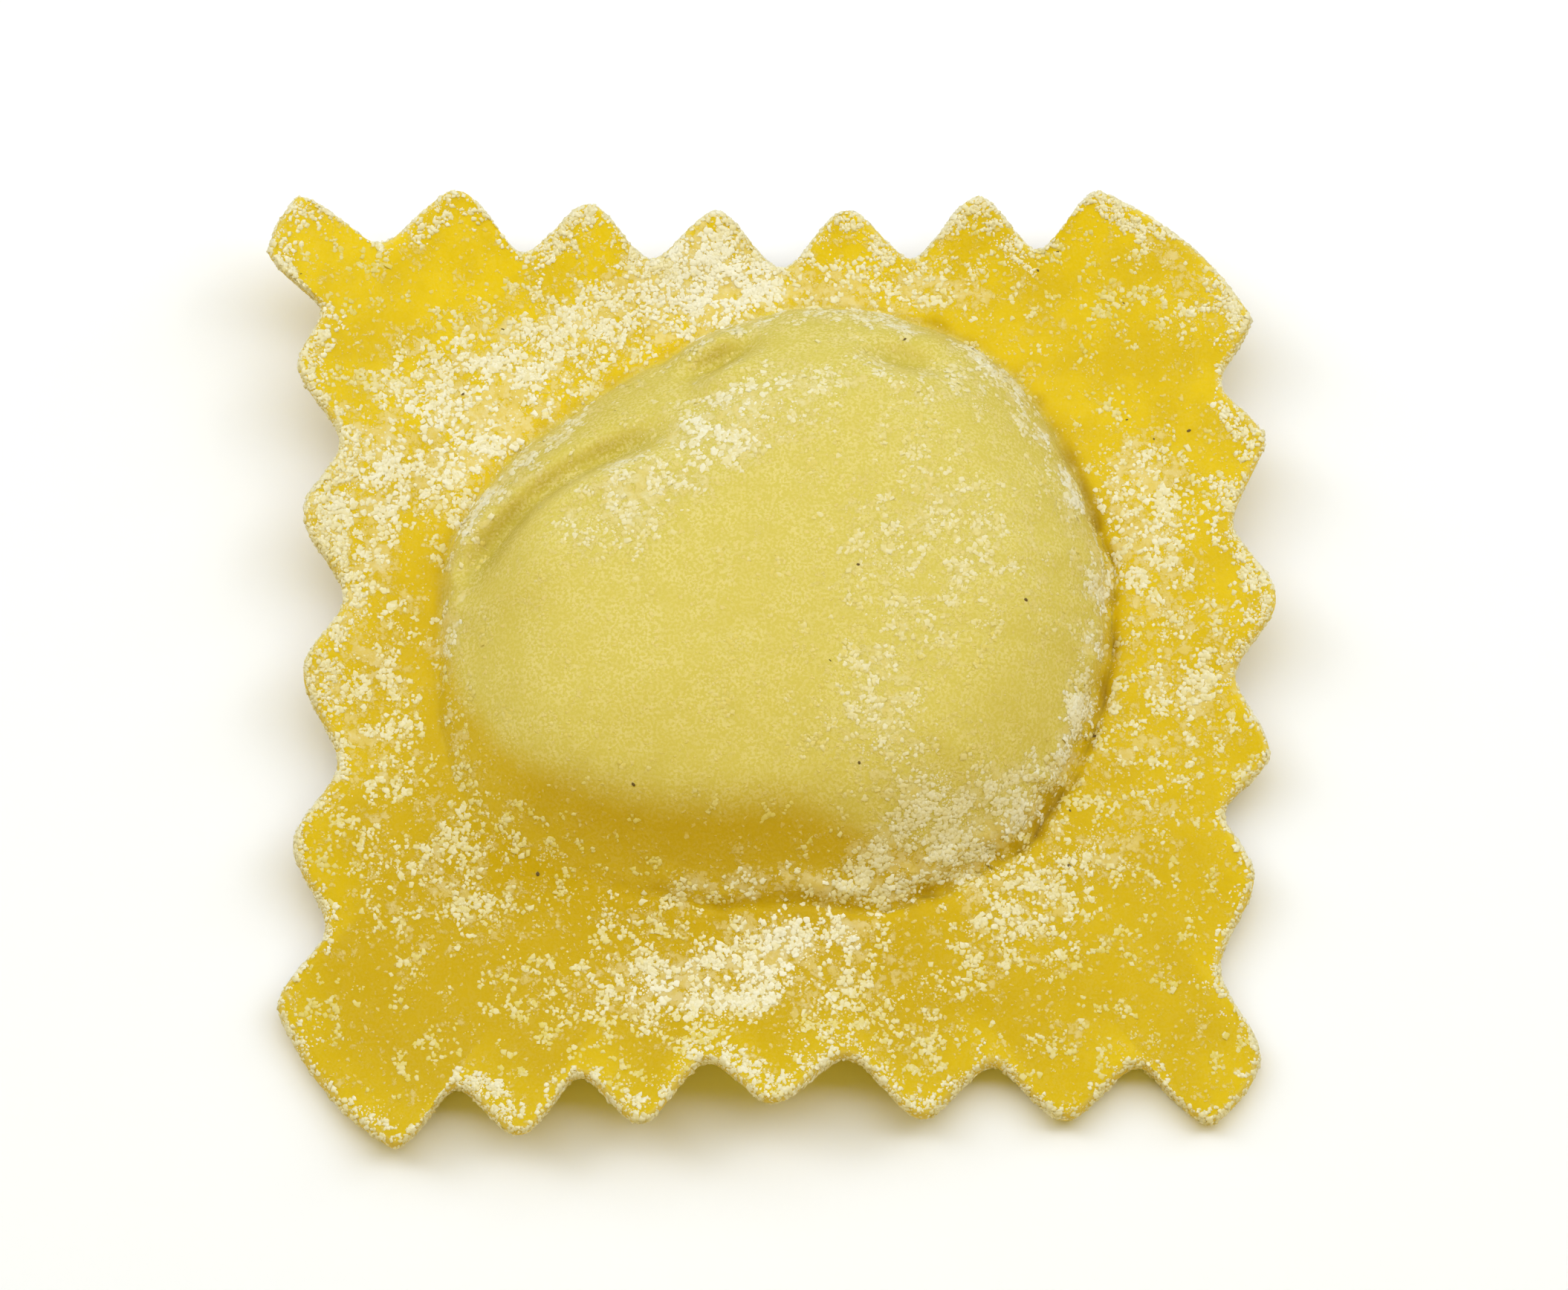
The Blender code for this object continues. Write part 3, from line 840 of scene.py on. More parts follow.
@dataclass
class Dusting:
    """How thickly semolina covers each place of the top sheet."""

    mound: Mound = field(default_factory=Mound)
    border_cover: float = 0.16
    mound_cover: float = 0.05
    foot_blend: float = 3.0
    patches: tuple[Patch, ...] = (
        Patch(-16.6, 13.0, 8.2, 3.7, 36.0, 0.6),
        Patch(-6.1, 19.0, 6.0, 2.8, 10.0, 0.45),
        Patch(-3.5, 20.4, 3.6, 2.2, 0.0, 0.85),
        Patch(6.0, 19.8, 6.0, 2.2, 0.0, 0.42),
        Patch(18.8, 7.4, 2.6, 5.0, 0.0, 0.5),
        Patch(21.9, 0.5, 2.5, 3.6, 0.0, 0.3),
        Patch(19.9, -4.0, 3.2, 4.6, 0.0, 0.32),
        Patch(13.6, -12.2, 5.6, 2.4, 32.0, 0.42),
        Patch(-3.0, -17.3, 6.8, 2.0, 3.0, 0.62),
        Patch(0.0, -14.7, 1.9, 0.9, -12.0, 0.72),
        Patch(3.9, -14.7, 1.8, 0.8, 18.0, 0.64),
        Patch(-2.8, -12.5, 2.0, 0.9, 8.0, 0.5),
        Patch(1.6, -12.6, 1.6, 0.7, -20.0, 0.55),
        Patch(-7.2, -13.6, 2.4, 1.2, 0.0, 0.3),
        Patch(-16.4, -11.6, 4.8, 4.2, 0.0, 0.3),
        Patch(-20.8, -2.6, 2.7, 6.0, 0.0, 0.4),
        Patch(-21.9, 5.7, 2.4, 4.2, 0.0, 0.4),
        Patch(9.0, -18.5, 6.5, 3.5, 0.0, 0.15),
        Patch(21.8, 19.2, 4.4, 1.8, -50.0, 0.32),
        Patch(-5.4, 8.6, 8.0, 2.4, 36.0, 0.48),
        Patch(-1.0, 11.8, 4.0, 2.6, 20.0, 0.3),
        Patch(7.6, 13.6, 4.0, 1.6, -10.0, 0.35),
        Patch(8.6, 4.6, 5.6, 5.6, 0.0, 0.36),
        Patch(5.3, -5.2, 3.0, 4.4, 10.0, 0.42),
        Patch(8.0, -9.8, 6.0, 1.8, 30.0, 0.58),
        Patch(-13.4, 10.6, 5.0, 1.8, 44.0, 0.36),
    )
    ridge: Round = (1.0, 0.7, 0.2, 0.1, 0.8, 0.0, 0.45, 1.0)
    ridge_place: float = 0.8
    ridge_width: float = 0.8
    ridge_mean: float = 0.6
    ridge_unevenness: Noise = Noise(71, (1.8, 0.7), (0.55, 0.6))
    gap: Round = (0.95, 0.9, 0.2, 0.5, 0.8, 0.0, 0.7, 1.0)
    gap_width: Round = (0.22, 0.6, 0.3, 0.5, 0.6, 0.7, 0.7, 0.34)
    gap_unevenness: Noise = Noise(82, (1.9, 0.8), (0.55, 0.45))
    gap_swell: float = 0.8
    gap_limits: Plan = (0.4, 2.0)
    gap_mean: float = 0.65
    gap_breaks: float = 1.1
    fold_bareness: float = 0.85
    clusters: Noise = Noise(41, (0.6, 1.3, 3.2), (0.6, 0.5, 0.35))
    cluster_edge: float = 0.4
    loose_share: float = 0.15

    def cover(self, x: Array, y: Array) -> Array:
        """The share of places that semolina covers.

        Args:
            x: places across, in millimetres.
            y: places along, in millimetres.

        Returns:
            The share at each place, from 0 to 1.
        """
        distance, angle = self.mound.polar(x, y)
        past = distance - self.mound.foot_radius(angle)
        on_border = eased(past / self.foot_blend + 0.5)
        bare = 1.0 - (self.mound_cover + (self.border_cover - self.mound_cover) * on_border)
        for patch in self.patches:
            bare *= 1.0 - patch.cover * patch.weight(x, y)
        uneven = np.clip(self.ridge_mean + self.ridge_unevenness.at(x, y), 0.0, 1.0)
        heaped = around(self.ridge, angle) * uneven
        past_gap = self.mound.past_gap(past, angle)
        heaped *= np.exp(-((past_gap + self.ridge_place) / self.ridge_width) ** 2)
        covered = 1.0 - bare * (1.0 - heaped)
        in_folds = 1.0 - self.fold_bareness * self.mound.fold(x, y)
        return covered * (1.0 - self.kept_clear(past, angle)) * in_folds

    def kept_clear(self, past: Array, angle: Array) -> Array:
        """How far the gap along the mound's foot is clear of semolina.

        Args:
            past: how far each place is past the foot, in millimetres.
            angle: its angle from the mound's centre, in degrees.

        Returns:
            0 outside the gap, up to 1 where it is clear.
        """
        shake = self.mound.along_foot(self.gap_unevenness, angle)
        width = around(self.gap_width, angle) * np.clip(1.0 + self.gap_swell * shake, *self.gap_limits)
        clear = around(self.gap, angle) * np.clip(self.gap_mean + self.gap_breaks * shake, 0.0, 1.0)
        return clear * np.exp(-(self.mound.past_gap(past, angle) / width) ** 2)

    def chance(self, x: Array, y: Array) -> Array:
        """The chance that a grain lies at places, in clusters with bare dough between.

        Args:
            x: places across, in millimetres.
            y: places along, in millimetres.

        Returns:
            The chance at each place, from 0 to 1.
        """
        cover = self.cover(x, y)
        clustered = eased((cover - 0.5 - self.clusters.at(x, y)) / self.cluster_edge + 0.5)
        return cover * (self.loose_share + (1.0 - self.loose_share) * clustered)


class GrainShape(Enum):
    """What a grain is cut from: a lump of many, a rounded crumb, an angular block or a tiny chip."""

    LUMP = "sphere"
    CRUMB = "icosphere"
    BLOCK = "cube"
    CHIP = "octahedron"


@dataclass
class GrainKind:
    """One size of grain, kept as one piece."""

    name: str
    shape: GrainShape
    count: int
    smallest: float
    largest: float
    seed: int
    rim_chance: float
    flock: float
    spread: float
    least_cover: float = 0.0
    variants: int = 12
    ball: float = 0.5
    block: float = 0.78
    corners: Plan = (0.6, 1.3)
    stretch: Plan = (0.6, 1.15)

    def prototype(self, random: Draws) -> tuple[Array, Array]:
        """Makes one uneven grain about one unit across.

        Args:
            random: where its unevenness comes from.

        Returns:
            Its vertices and its triangles.
        """
        bm = bmesh.new()
        if self.shape is GrainShape.LUMP:
            bmesh.ops.create_uvsphere(bm, u_segments=8, v_segments=4, radius=self.ball)
        elif self.shape is GrainShape.CRUMB:
            bmesh.ops.create_icosphere(bm, subdivisions=1, radius=self.ball)
        elif self.shape is GrainShape.BLOCK:
            bmesh.ops.create_cube(bm, size=self.block)
        else:
            bmesh.ops.create_uvsphere(bm, u_segments=4, v_segments=2, radius=self.ball)
        bmesh.ops.triangulate(bm, faces=bm.faces)
        bm.verts.index_update()
        vertices = np.array([v.co[:] for v in bm.verts])
        triangles = in_order(np.array([[v.index for v in f.verts] for f in bm.faces]))
        bm.free()
        vertices *= random.uniform(*self.corners, (len(vertices), 1))
        vertices *= random.uniform(*self.stretch, (1, 3))
        return vertices, triangles


def random_turns(count: int, random: Draws) -> Array:
    """Rotation matrices in every direction.

    Args:
        count: how many.
        random: where they come from.

    Returns:
        An array of count 3 by 3 matrices.
    """
    q = random.normal(size=(count, 4))
    q /= np.linalg.norm(q, axis=1)[:, None]
    w, x, y, z = q.T
    return np.stack([
        np.stack([1 - 2 * (y * y + z * z), 2 * (x * y - z * w), 2 * (x * z + y * w)], axis=1),
        np.stack([2 * (x * y + z * w), 1 - 2 * (x * x + z * z), 2 * (y * z - x * w)], axis=1),
        np.stack([2 * (x * z - y * w), 2 * (y * z + x * w), 1 - 2 * (x * x + y * y)], axis=1),
    ], axis=1)


@dataclass
class Skin:
    """The triangles of the finished dough, for laying grains on it."""

    piece: Piece
    least_area: float = 1e-12

    def __post_init__(self) -> None:
        """Reads the triangles once, in a fixed order."""
        mesh = self.piece.data
        mesh.calc_loop_triangles()
        corners = np.empty(len(mesh.loop_triangles) * 3, dtype=int)
        mesh.loop_triangles.foreach_get("vertices", corners)
        corners = in_order(corners.reshape(-1, 3))
        places = np.empty(len(mesh.vertices) * 3)
        mesh.vertices.foreach_get("co", places)
        places = places.reshape(-1, 3)
        edge = np.empty(len(mesh.vertices), dtype=np.float32)
        mesh.attributes["edge"].data.foreach_get("value", edge)
        self.corners = places[corners]
        cross = np.cross(self.corners[:, 1] - self.corners[:, 0], self.corners[:, 2] - self.corners[:, 0])
        self.areas = np.linalg.norm(cross, axis=1) / 2.0
        self.normals = cross / np.maximum(2.0 * self.areas, self.least_area)[:, None]
        self.edge = edge[corners].mean(axis=1)
        self.tree = BVHTree.FromPolygons(places.tolist(), corners.tolist())

    def nearest(self, places: Array) -> tuple[Array, Array]:
        """Moves places onto the skin.

        Args:
            places: places near the skin, in metres.

        Returns:
            The nearest places on the skin and the directions out of it there.
        """
        found = [self.tree.find_nearest(place) for place in places.tolist()]
        return np.array([hit[0][:] for hit in found]), np.array([hit[1][:] for hit in found])

    def spots(self, count: int, random: Draws) -> tuple[Array, Array, Array]:
        """Picks places evenly over the skin.

        Args:
            count: how many places.
            random: where they come from.

        Returns:
            The places, the directions out of the skin there, and how near each is to the cut edge.
        """
        face = random.choice(len(self.areas), count, p=self.areas / self.areas.sum())
        a, b = random.random((2, count))
        flip = a + b > 1.0
        a, b = np.where(flip, 1.0 - a, a), np.where(flip, 1.0 - b, b)
        corner = self.corners[face]
        weights = np.stack([1.0 - a - b, a, b], axis=1)
        return np.einsum("ij,ijk->ik", weights, corner), self.normals[face], self.edge[face]


@dataclass
class Semolina:
    """The semolina that the piece was dusted with, grain by grain."""

    dusting: Dusting
    kinds: tuple[GrainKind, ...] = (
        GrainKind("semolina_lumps", GrainShape.LUMP, 3600, 0.25, 0.5, 105, 0.0, 5.0, 0.24, 0.5),
        GrainKind("semolina_coarse", GrainShape.CRUMB, 9800, 0.22, 0.43, 101, 0.35, 5.0, 0.2),
        GrainKind("semolina_broken", GrainShape.BLOCK, 10000, 0.2, 0.4, 106, 0.35, 5.0, 0.2),
        GrainKind("semolina_middling", GrainShape.BLOCK, 16000, 0.16, 0.32, 102, 0.8, 6.0, 0.18),
        GrainKind("semolina_fine", GrainShape.CHIP, 20000, 0.12, 0.24, 103, 1.0, 6.0, 0.18),
        GrainKind("semolina_dust", GrainShape.CHIP, 6000, 0.08, 0.15, 104, 0.4, 4.0, 0.3),
    )
    spots_per_grain: int = 16
    underside: float = -0.2
    underside_chance: float = 0.1
    cover_edge: float = 0.15
    rim_slopes: Plan = (-0.4, 0.97)
    flatness: float = 0.4
    rim_flatness: float = 0.55
    bedding: float = 0.65
    rim_bedding: float = 0.45
    bedding_slope: float = 0.6
    off_rim: float = 0.7
    sink: float = -0.03
    pile_from: float = 0.55
    pile_height: float = 0.06
    table_gap: float = 0.3
    usual_size: float = 1.15
    lone_tint: float = 1.1
    thick_tint: float = -0.2
    rim_tint: float = 0.35
    tint_range: float = 0.25

    def chosen(self, kind: GrainKind, skin: Skin, middle: Array, random: Draws) -> tuple[Array, ...]:
        """Picks where the grains of one kind lie, in strings that start at the likeliest places.

        Args:
            kind: the kind of grain.
            skin: the dough that they lie on.
            middle: the middle of the cut edge's box in the plan.
            random: where the choice comes from.

        Returns:
            Their places in metres, the directions out of the skin, how high they may be piled, how
            thickly semolina covers their places, and 1 for each that is on the rim.
        """
        spots = int(kind.count * self.spots_per_grain / kind.flock)
        places, normals, edge = skin.spots(spots, random)
        x, y = places[:, 0] / MM + middle[0], places[:, 1] / MM + middle[1]
        cover = self.dusting.cover(x, y)
        below = normals[:, 2] < self.underside
        chance = self.dusting.chance(x, y) * eased((cover - kind.least_cover) / self.cover_edge + 0.5)
        steepest, flattest = self.rim_slopes
        on_edge = (edge > 0.5) & (normals[:, 2] > steepest) & (normals[:, 2] < flattest)
        chance = np.where(on_edge, np.maximum(chance, kind.rim_chance), chance * self.off_rim)
        chance = np.where(below, 0.0 if kind.least_cover else self.underside_chance, chance)
        chance[places[:, 2] < self.table_gap * MM] = 0.0
        seeds = np.flatnonzero(random.random(len(chance)) < chance)
        flock = random.geometric(1.0 / kind.flock, len(seeds))
        keep = np.repeat(seeds, flock)[:kind.count]
        pile = np.where(below, 0.0, np.maximum(0.0, cover - self.pile_from))[keep]
        first = np.repeat(np.cumsum(flock) - flock, flock)[:kind.count]
        trail = np.cumsum(random.normal(0.0, kind.spread * MM, (len(keep), 3)), axis=0)
        stray = trail - trail[first]
        stray -= normals[keep] * np.sum(stray * normals[keep], axis=1)[:, None]
        places, normals = skin.nearest(places[keep] + stray)
        return places, normals, pile, cover[keep], on_edge[keep].astype(float)

    def build(self, kind: GrainKind, skin: Skin, middle: Array) -> Piece:
        """Makes all the grains of one kind as one piece.

        Args:
            kind: the kind of grain.
            skin: the dough that they lie on.
            middle: the middle of the cut edge's box in the plan.

        Returns:
            The finished object, at the origin.
        """
        random = np.random.default_rng(kind.seed)
        prototypes = [kind.prototype(random) for _ in range(kind.variants)]
        triangles = prototypes[0][1]
        shapes = np.stack([vertices for vertices, _ in prototypes])
        places, normals, pile, cover, rim = self.chosen(kind, skin, middle, random)
        count = len(places)
        usual = kind.smallest * self.usual_size
        sizes = random.triangular(kind.smallest, usual, kind.largest, count) * MM
        chosen = shapes[random.integers(0, kind.variants, count)]
        grains = np.einsum("nij,nvj->nvi", random_turns(count, random), chosen)
        upright = np.einsum("nvi,ni->nv", grains, normals)[:, :, None] * normals[:, None, :]
        flatness = self.flatness + (self.rim_flatness - self.flatness) * rim
        grains -= upright * (1.0 - flatness)[:, None, None]
        lift = sizes * self.sink + pile * random.random(count) * self.pile_height * MM
        vertices = grains * sizes[:, None, None] + (places + normals * lift[:, None])[:, None, :]
        faces = triangles[None] + (np.arange(count) * shapes.shape[1])[:, None, None]
        mesh = bpy.data.meshes.new(kind.name)
        mesh.from_pydata(vertices.reshape(-1, 3), [], faces.reshape(-1, 3))
        mesh.shade_smooth()
        self.bed(mesh, normals, rim)
        tint = np.where(rim > 0.5, self.rim_tint, self.lone_tint + (self.thick_tint - self.lone_tint) * cover)
        tint = np.clip(tint + random.uniform(-self.tint_range, self.tint_range, count), 0.0, 1.0)
        layer = mesh.attributes.new("tint", "FLOAT", "POINT")
        layer.data.foreach_set("value", np.repeat(tint, shapes.shape[1]).astype(np.float32))
        return placed(kind.name, mesh)

    def bed(self, mesh: bpy.types.Mesh, normals: Array, rim: Array) -> None:
        """Turns the shading of grains towards the skin that they lie in.

        Args:
            mesh: the grains.
            normals: the direction out of the skin at each grain.
            rim: 1 for each that is on the rim.
        """
        own = np.empty(len(mesh.vertices) * 3, dtype=np.float32)
        mesh.vertex_normals.foreach_get("vector", own)
        per_grain = len(mesh.vertices) // len(normals)
        bedding = self.bedding + (self.rim_bedding - self.bedding) * rim
        share = np.repeat(bedding * eased(normals[:, 2] / self.bedding_slope), per_grain)[:, None]
        bedded = np.repeat(normals, per_grain, axis=0) * share + own.reshape(-1, 3) * (1.0 - share)
        bedded /= np.linalg.norm(bedded, axis=1)[:, None]
        mesh.normals_split_custom_set_from_vertices(bedded.tolist())


@dataclass
class Bran:
    """Dark specks of bran, rolled into the skin of the dough."""

    seen: tuple[Plan, ...] = (
        (18.0, 18.8), (-14.1, 17.9), (-24.6, 20.0), (6.8, 16.9), (13.2, 20.8), (-7.0, -8.2),
    )
    count: int = 14
    tries: int = 20000
    smallest: float = 0.14
    largest: float = 0.32
    narrowness: Plan = (0.35, 0.8)
    flatness: float = 0.3
    least_slope: float = 0.8
    edge_limit: float = 0.1
    seed: int = 77

    def build(self, skin: Skin, middle: Array) -> Piece:
        """Makes the specks as one piece.

        Args:
            skin: the dough that they are in.
            middle: the middle of the cut edge's box in the plan.

        Returns:
            The finished object, at the origin.
        """
        random = np.random.default_rng(self.seed)
        places, normals, edge = skin.spots(self.tries, random)
        shown = np.flatnonzero((normals[:, 2] > self.least_slope) & (edge < self.edge_limit))
        keep = list(shown[:self.count])
        for place in self.seen:
            away = places[shown, :2] / MM + middle - np.array(place)
            keep.append(shown[np.argmin(np.hypot(away[:, 0], away[:, 1]))])
        bm = bmesh.new()
        for number in keep:
            size = random.uniform(self.smallest, self.largest) * MM
            tilt = Vector(normals[number]).to_track_quat("Z", "Y").to_matrix().to_4x4()
            width = size * random.uniform(*self.narrowness)
            stretch = Matrix.Diagonal((size, width, size * self.flatness, 1.0))
            turn = Matrix.Rotation(random.uniform(0.0, math.pi), 4, "Z")
            place = Matrix.Translation(Vector(places[number])) @ tilt @ turn @ stretch
            bmesh.ops.create_icosphere(bm, subdivisions=1, radius=0.5, matrix=place)
        return placed("bran_specks", made_mesh("bran_specks", bm))


# Finishes


@dataclass
class NodeTree:
    """Short ways to add nodes to a material or to the room."""

    tree: bpy.types.NodeTree

    def add(self, kind: str, inputs: dict | None = None, **settings: object) -> bpy.types.Node:
        """Adds a node.

        Args:
            kind: the node's type.
            inputs: what its sockets hold or are linked to.
            settings: its own settings.

        Returns:
            The new node.
        """
        node = self.tree.nodes.new(kind)
        for name, value in settings.items():
            setattr(node, name, value)
        for name, value in (inputs or {}).items():
            if isinstance(value, Socket):
                self.tree.links.new(value, node.inputs[name])
            else:
                node.inputs[name].default_value = value
        return node

    def noise(self, place: Socket, scale: float, detail: float, output: str = "Fac") -> Socket:
        """Adds random hills.

        Args:
            place: where on the piece.
            scale: how many hills there are to a metre.
            detail: how many finer layers of hills there are.
            output: "Fac" for their height, or "Color" for three heights at once.

        Returns:
            The hills.
        """
        node = self.add("ShaderNodeTexNoise", {"Vector": place, "Scale": scale, "Detail": detail})
        return node.outputs[output]

    def arrows(self, operation: str, a: object, b: object) -> Socket:
        """One sum of two vectors."""
        return self.add("ShaderNodeVectorMath", {0: a, 1: b}, operation=operation).outputs[0]

    def maths(self, operation: str, a: object, b: object = 0.0) -> Socket:
        """One sum of two values."""
        return self.add("ShaderNodeMath", {0: a, 1: b}, operation=operation).outputs[0]

    def line(self, value: Socket, slope: float, start: object) -> Socket:
        """A value times a slope, and a start added."""
        return self.maths("ADD", self.maths("MULTIPLY", value, slope), start)

    def between(self, value: Socket, low: float, high: float) -> Socket:
        """Eases a value from 0 at one limit to 1 at the other.

        Args:
            value: the value.
            low: where it is 0.
            high: where it is 1.

        Returns:
            The eased value.
        """
        inputs = {"Value": value, "From Min": low, "From Max": high}
        node = self.add("ShaderNodeMapRange", inputs, interpolation_type="SMOOTHSTEP")
        return node.outputs["Result"]

    def blend(self, share: object, first: object, second: object) -> Socket:
        """Mixes two colours.

        Args:
            share: how much of the second there is.
            first: a colour.
            second: the other colour.

        Returns:
            The mixed colour.
        """
        node = self.add("ShaderNodeMix", data_type="RGBA")
        for socket, value in ((node.inputs[0], share), (node.inputs[6], first), (node.inputs[7], second)):
            if isinstance(value, Socket):
                self.tree.links.new(value, socket)
            else:
                socket.default_value = value if isinstance(value, float) else (*value, 1.0)
        return node.outputs[2]

    def mark(self, name: str) -> Socket:
        """A value stored on the piece."""
        return self.add("ShaderNodeAttribute", attribute_name=name).outputs["Fac"]


def new_material(name: str) -> tuple[bpy.types.Material, NodeTree, bpy.types.Node]:
    """Starts a material.

    Args:
        name: its name.

    Returns:
        The material, its nodes and its shader.
    """
    material = bpy.data.materials.new(name)
    material.use_nodes = True
    return material, NodeTree(material.node_tree), material.node_tree.nodes["Principled BSDF"]


@dataclass(frozen=True)
class DoughFinish:
    """Fresh egg dough: golden and faintly translucent, paler and matt where it stretches over the filling,
    with painted shade and painted light in its colour.

    Each kind of hills is how many there are to a metre and how many finer layers they have, and edges are
    the heights between which a mask fades in. A range is a slope and a start.
    """

    golden: Colour = srgb(235, 202, 12)
    # Deep gold: the dough's own darker colour, and also the painted shade where the deepening mark is high.
    deep: Colour = srgb(204, 168, 3)
    stretched: Colour = srgb(217, 198, 90)
    # Painted shade: the darker olive drawn in the creases and on the mound's back wall.
    fold_shade: Colour = srgb(197, 177, 64)
    fleck: Colour = srgb(238, 223, 156)
    # Painted shade: the dark gold drawn in the gap along the mound's foot.
    crease: Colour = srgb(160, 122, 2)
    powder: Colour = srgb(231, 210, 132)
    thick_powder: Colour = srgb(238, 228, 184)
    hue_hills: Plan = (330.0, 5.0)
    hue_range: Plan = (0.4, 0.6)
    mottle_hills: Plan = (6400.0, 2.0)
    cloud_hills: Plan = (800.0, 4.0)
    cloud_range: Plan = (0.6, 0.4)
    veil_range: Plan = (0.42, 0.06)
    wide_edges: Plan = (0.35, 0.65)
    patchy_edges: Plan = (0.4, 0.62)
    drift_hills: Plan = (620.0, 4.0)
    drift: float = 1.3
    ragged_hills: Plan = (1900.0, 6.0)
    ragged_roughness: float = 0.66
    ragged: float = 3.4
    film_edges: Plan = (0.42, 0.82)
    film_share: float = 0.55
    stray_hills: Plan = (3800.0, 2.0)
    stray: float = 0.0004
    discs_to_a_metre: Plan = (3300.0, 5200.0)
    disc_edges: Plan = (0.46, 0.26)
    disc_softness: float = 0.06
    disc_share: float = 0.7
    least_loose: float = 0.05
    loose_share: float = 0.85
    rim_share: float = 0.3
    lump_hills: Plan = (2200.0, 4.0)
    powder_share: float = 0.94
    rough_range: Plan = (0.25, 0.55)
    bump_hills: Plan = (4200.0, 4.0)
    bump_share: float = 0.5
    bump_strength: float = 0.5
    bump_height: float = 0.00008
    specular: float = 0.1
    subsurface: float = 0.15
    subsurface_radius: Colour = (1.0, 0.8, 0.4)
    subsurface_scale: float = 0.0009

    def colour(self, nodes: NodeTree, place: Socket) -> Socket:
        """The dough's colour, mottled with pale flecks, with painted shade in the creases, along the mound's
        foot, on its back wall and on its front, and painted light near the cut edge. Its deeper gold towards
        the front is partly its own colour and partly painted shade.

        Args:
            nodes: the material's nodes.
            place: where on the piece.

        Returns:
            The colour.
        """
        hue = nodes.between(nodes.noise(place, *self.hue_hills), *self.wide_edges)
        hue = nodes.line(hue, *self.hue_range)
        # Deeper gold where this mark is high: partly the dough's own colour, partly painted shade.
        hue = nodes.maths("MULTIPLY", hue, nodes.maths("SUBTRACT", 1.0, nodes.mark("tone_and_shade")))
        base = nodes.blend(hue, self.deep, self.golden)
        # The mound mark pales the stretched sheet; the fold and gap marks lay painted shade on the dough.
        for name, colour in (("mound", self.stretched), ("fold", self.fold_shade), ("gap", self.crease)):
            base = nodes.blend(nodes.mark(name), base, colour)
        mottle = nodes.between(nodes.noise(place, *self.mottle_hills), *self.patchy_edges)
        cloud = nodes.between(nodes.noise(place, *self.cloud_hills), *self.wide_edges)
        mottle = nodes.maths("MULTIPLY", mottle, nodes.line(cloud, *self.cloud_range))
        veil = nodes.line(nodes.mark("mound"), *self.veil_range)
        return nodes.blend(nodes.maths("MULTIPLY", mottle, veil), base, self.fleck)

    def discs(self, nodes: NodeTree, place: Socket, cover: Socket, scale: float) -> Socket:
        """Soft flat grains that stand apart.

        Args:
            nodes: the material's nodes.
            place: where on the piece.
            cover: the share that is covered.
            scale: grains to a metre.

        Returns:
            A mask of the grains.
        """
        cell = nodes.add("ShaderNodeTexVoronoi", {"Vector": place, "Scale": scale})
        share = nodes.add("ShaderNodeSeparateColor", {"Color": cell.outputs["Color"]}).outputs[0]
        here = nodes.between(nodes.maths("SUBTRACT", cover, share), -self.disc_softness, self.disc_softness)
        body = nodes.between(cell.outputs["Distance"], *self.disc_edges)
        return nodes.maths("MULTIPLY", here, body)

    def powdered(self, nodes: NodeTree, place: Socket, cover: Socket) -> Socket:
        """The finest semolina, as a ragged film and as discs too small to be pieces.

        Args:
            nodes: the material's nodes.
            place: where on the piece.
            cover: the share that is covered.

        Returns:
            A mask of the powder.
        """
        ragged = nodes.noise(place, *self.ragged_hills)
        ragged.node.inputs["Roughness"].default_value = self.ragged_roughness
        ragged = nodes.maths("MULTIPLY", nodes.maths("SUBTRACT", ragged, 0.5), self.ragged)
        film = nodes.between(nodes.maths("ADD", cover, ragged), *self.film_edges)
        shift = nodes.noise(place, *self.stray_hills, output="Color")
        shift = nodes.arrows("MULTIPLY", nodes.arrows("SUBTRACT", shift, (0.5,) * 3), (self.stray,) * 3)
        warped = nodes.arrows("ADD", place, shift)
        loose = nodes.maths("MULTIPLY", nodes.maths("ADD", cover, self.least_loose), self.loose_share)
        large, small = (self.discs(nodes, warped, loose, scale) for scale in self.discs_to_a_metre)
        shares = (
            nodes.maths("MULTIPLY", nodes.maths("MAXIMUM", large, small), self.disc_share),
            nodes.maths("MULTIPLY", nodes.mark("rim"), self.rim_share),
        )
        powder = nodes.maths("MULTIPLY", film, self.film_share)
        for share in shares:
            powder = nodes.maths("MAXIMUM", powder, share)
        return powder

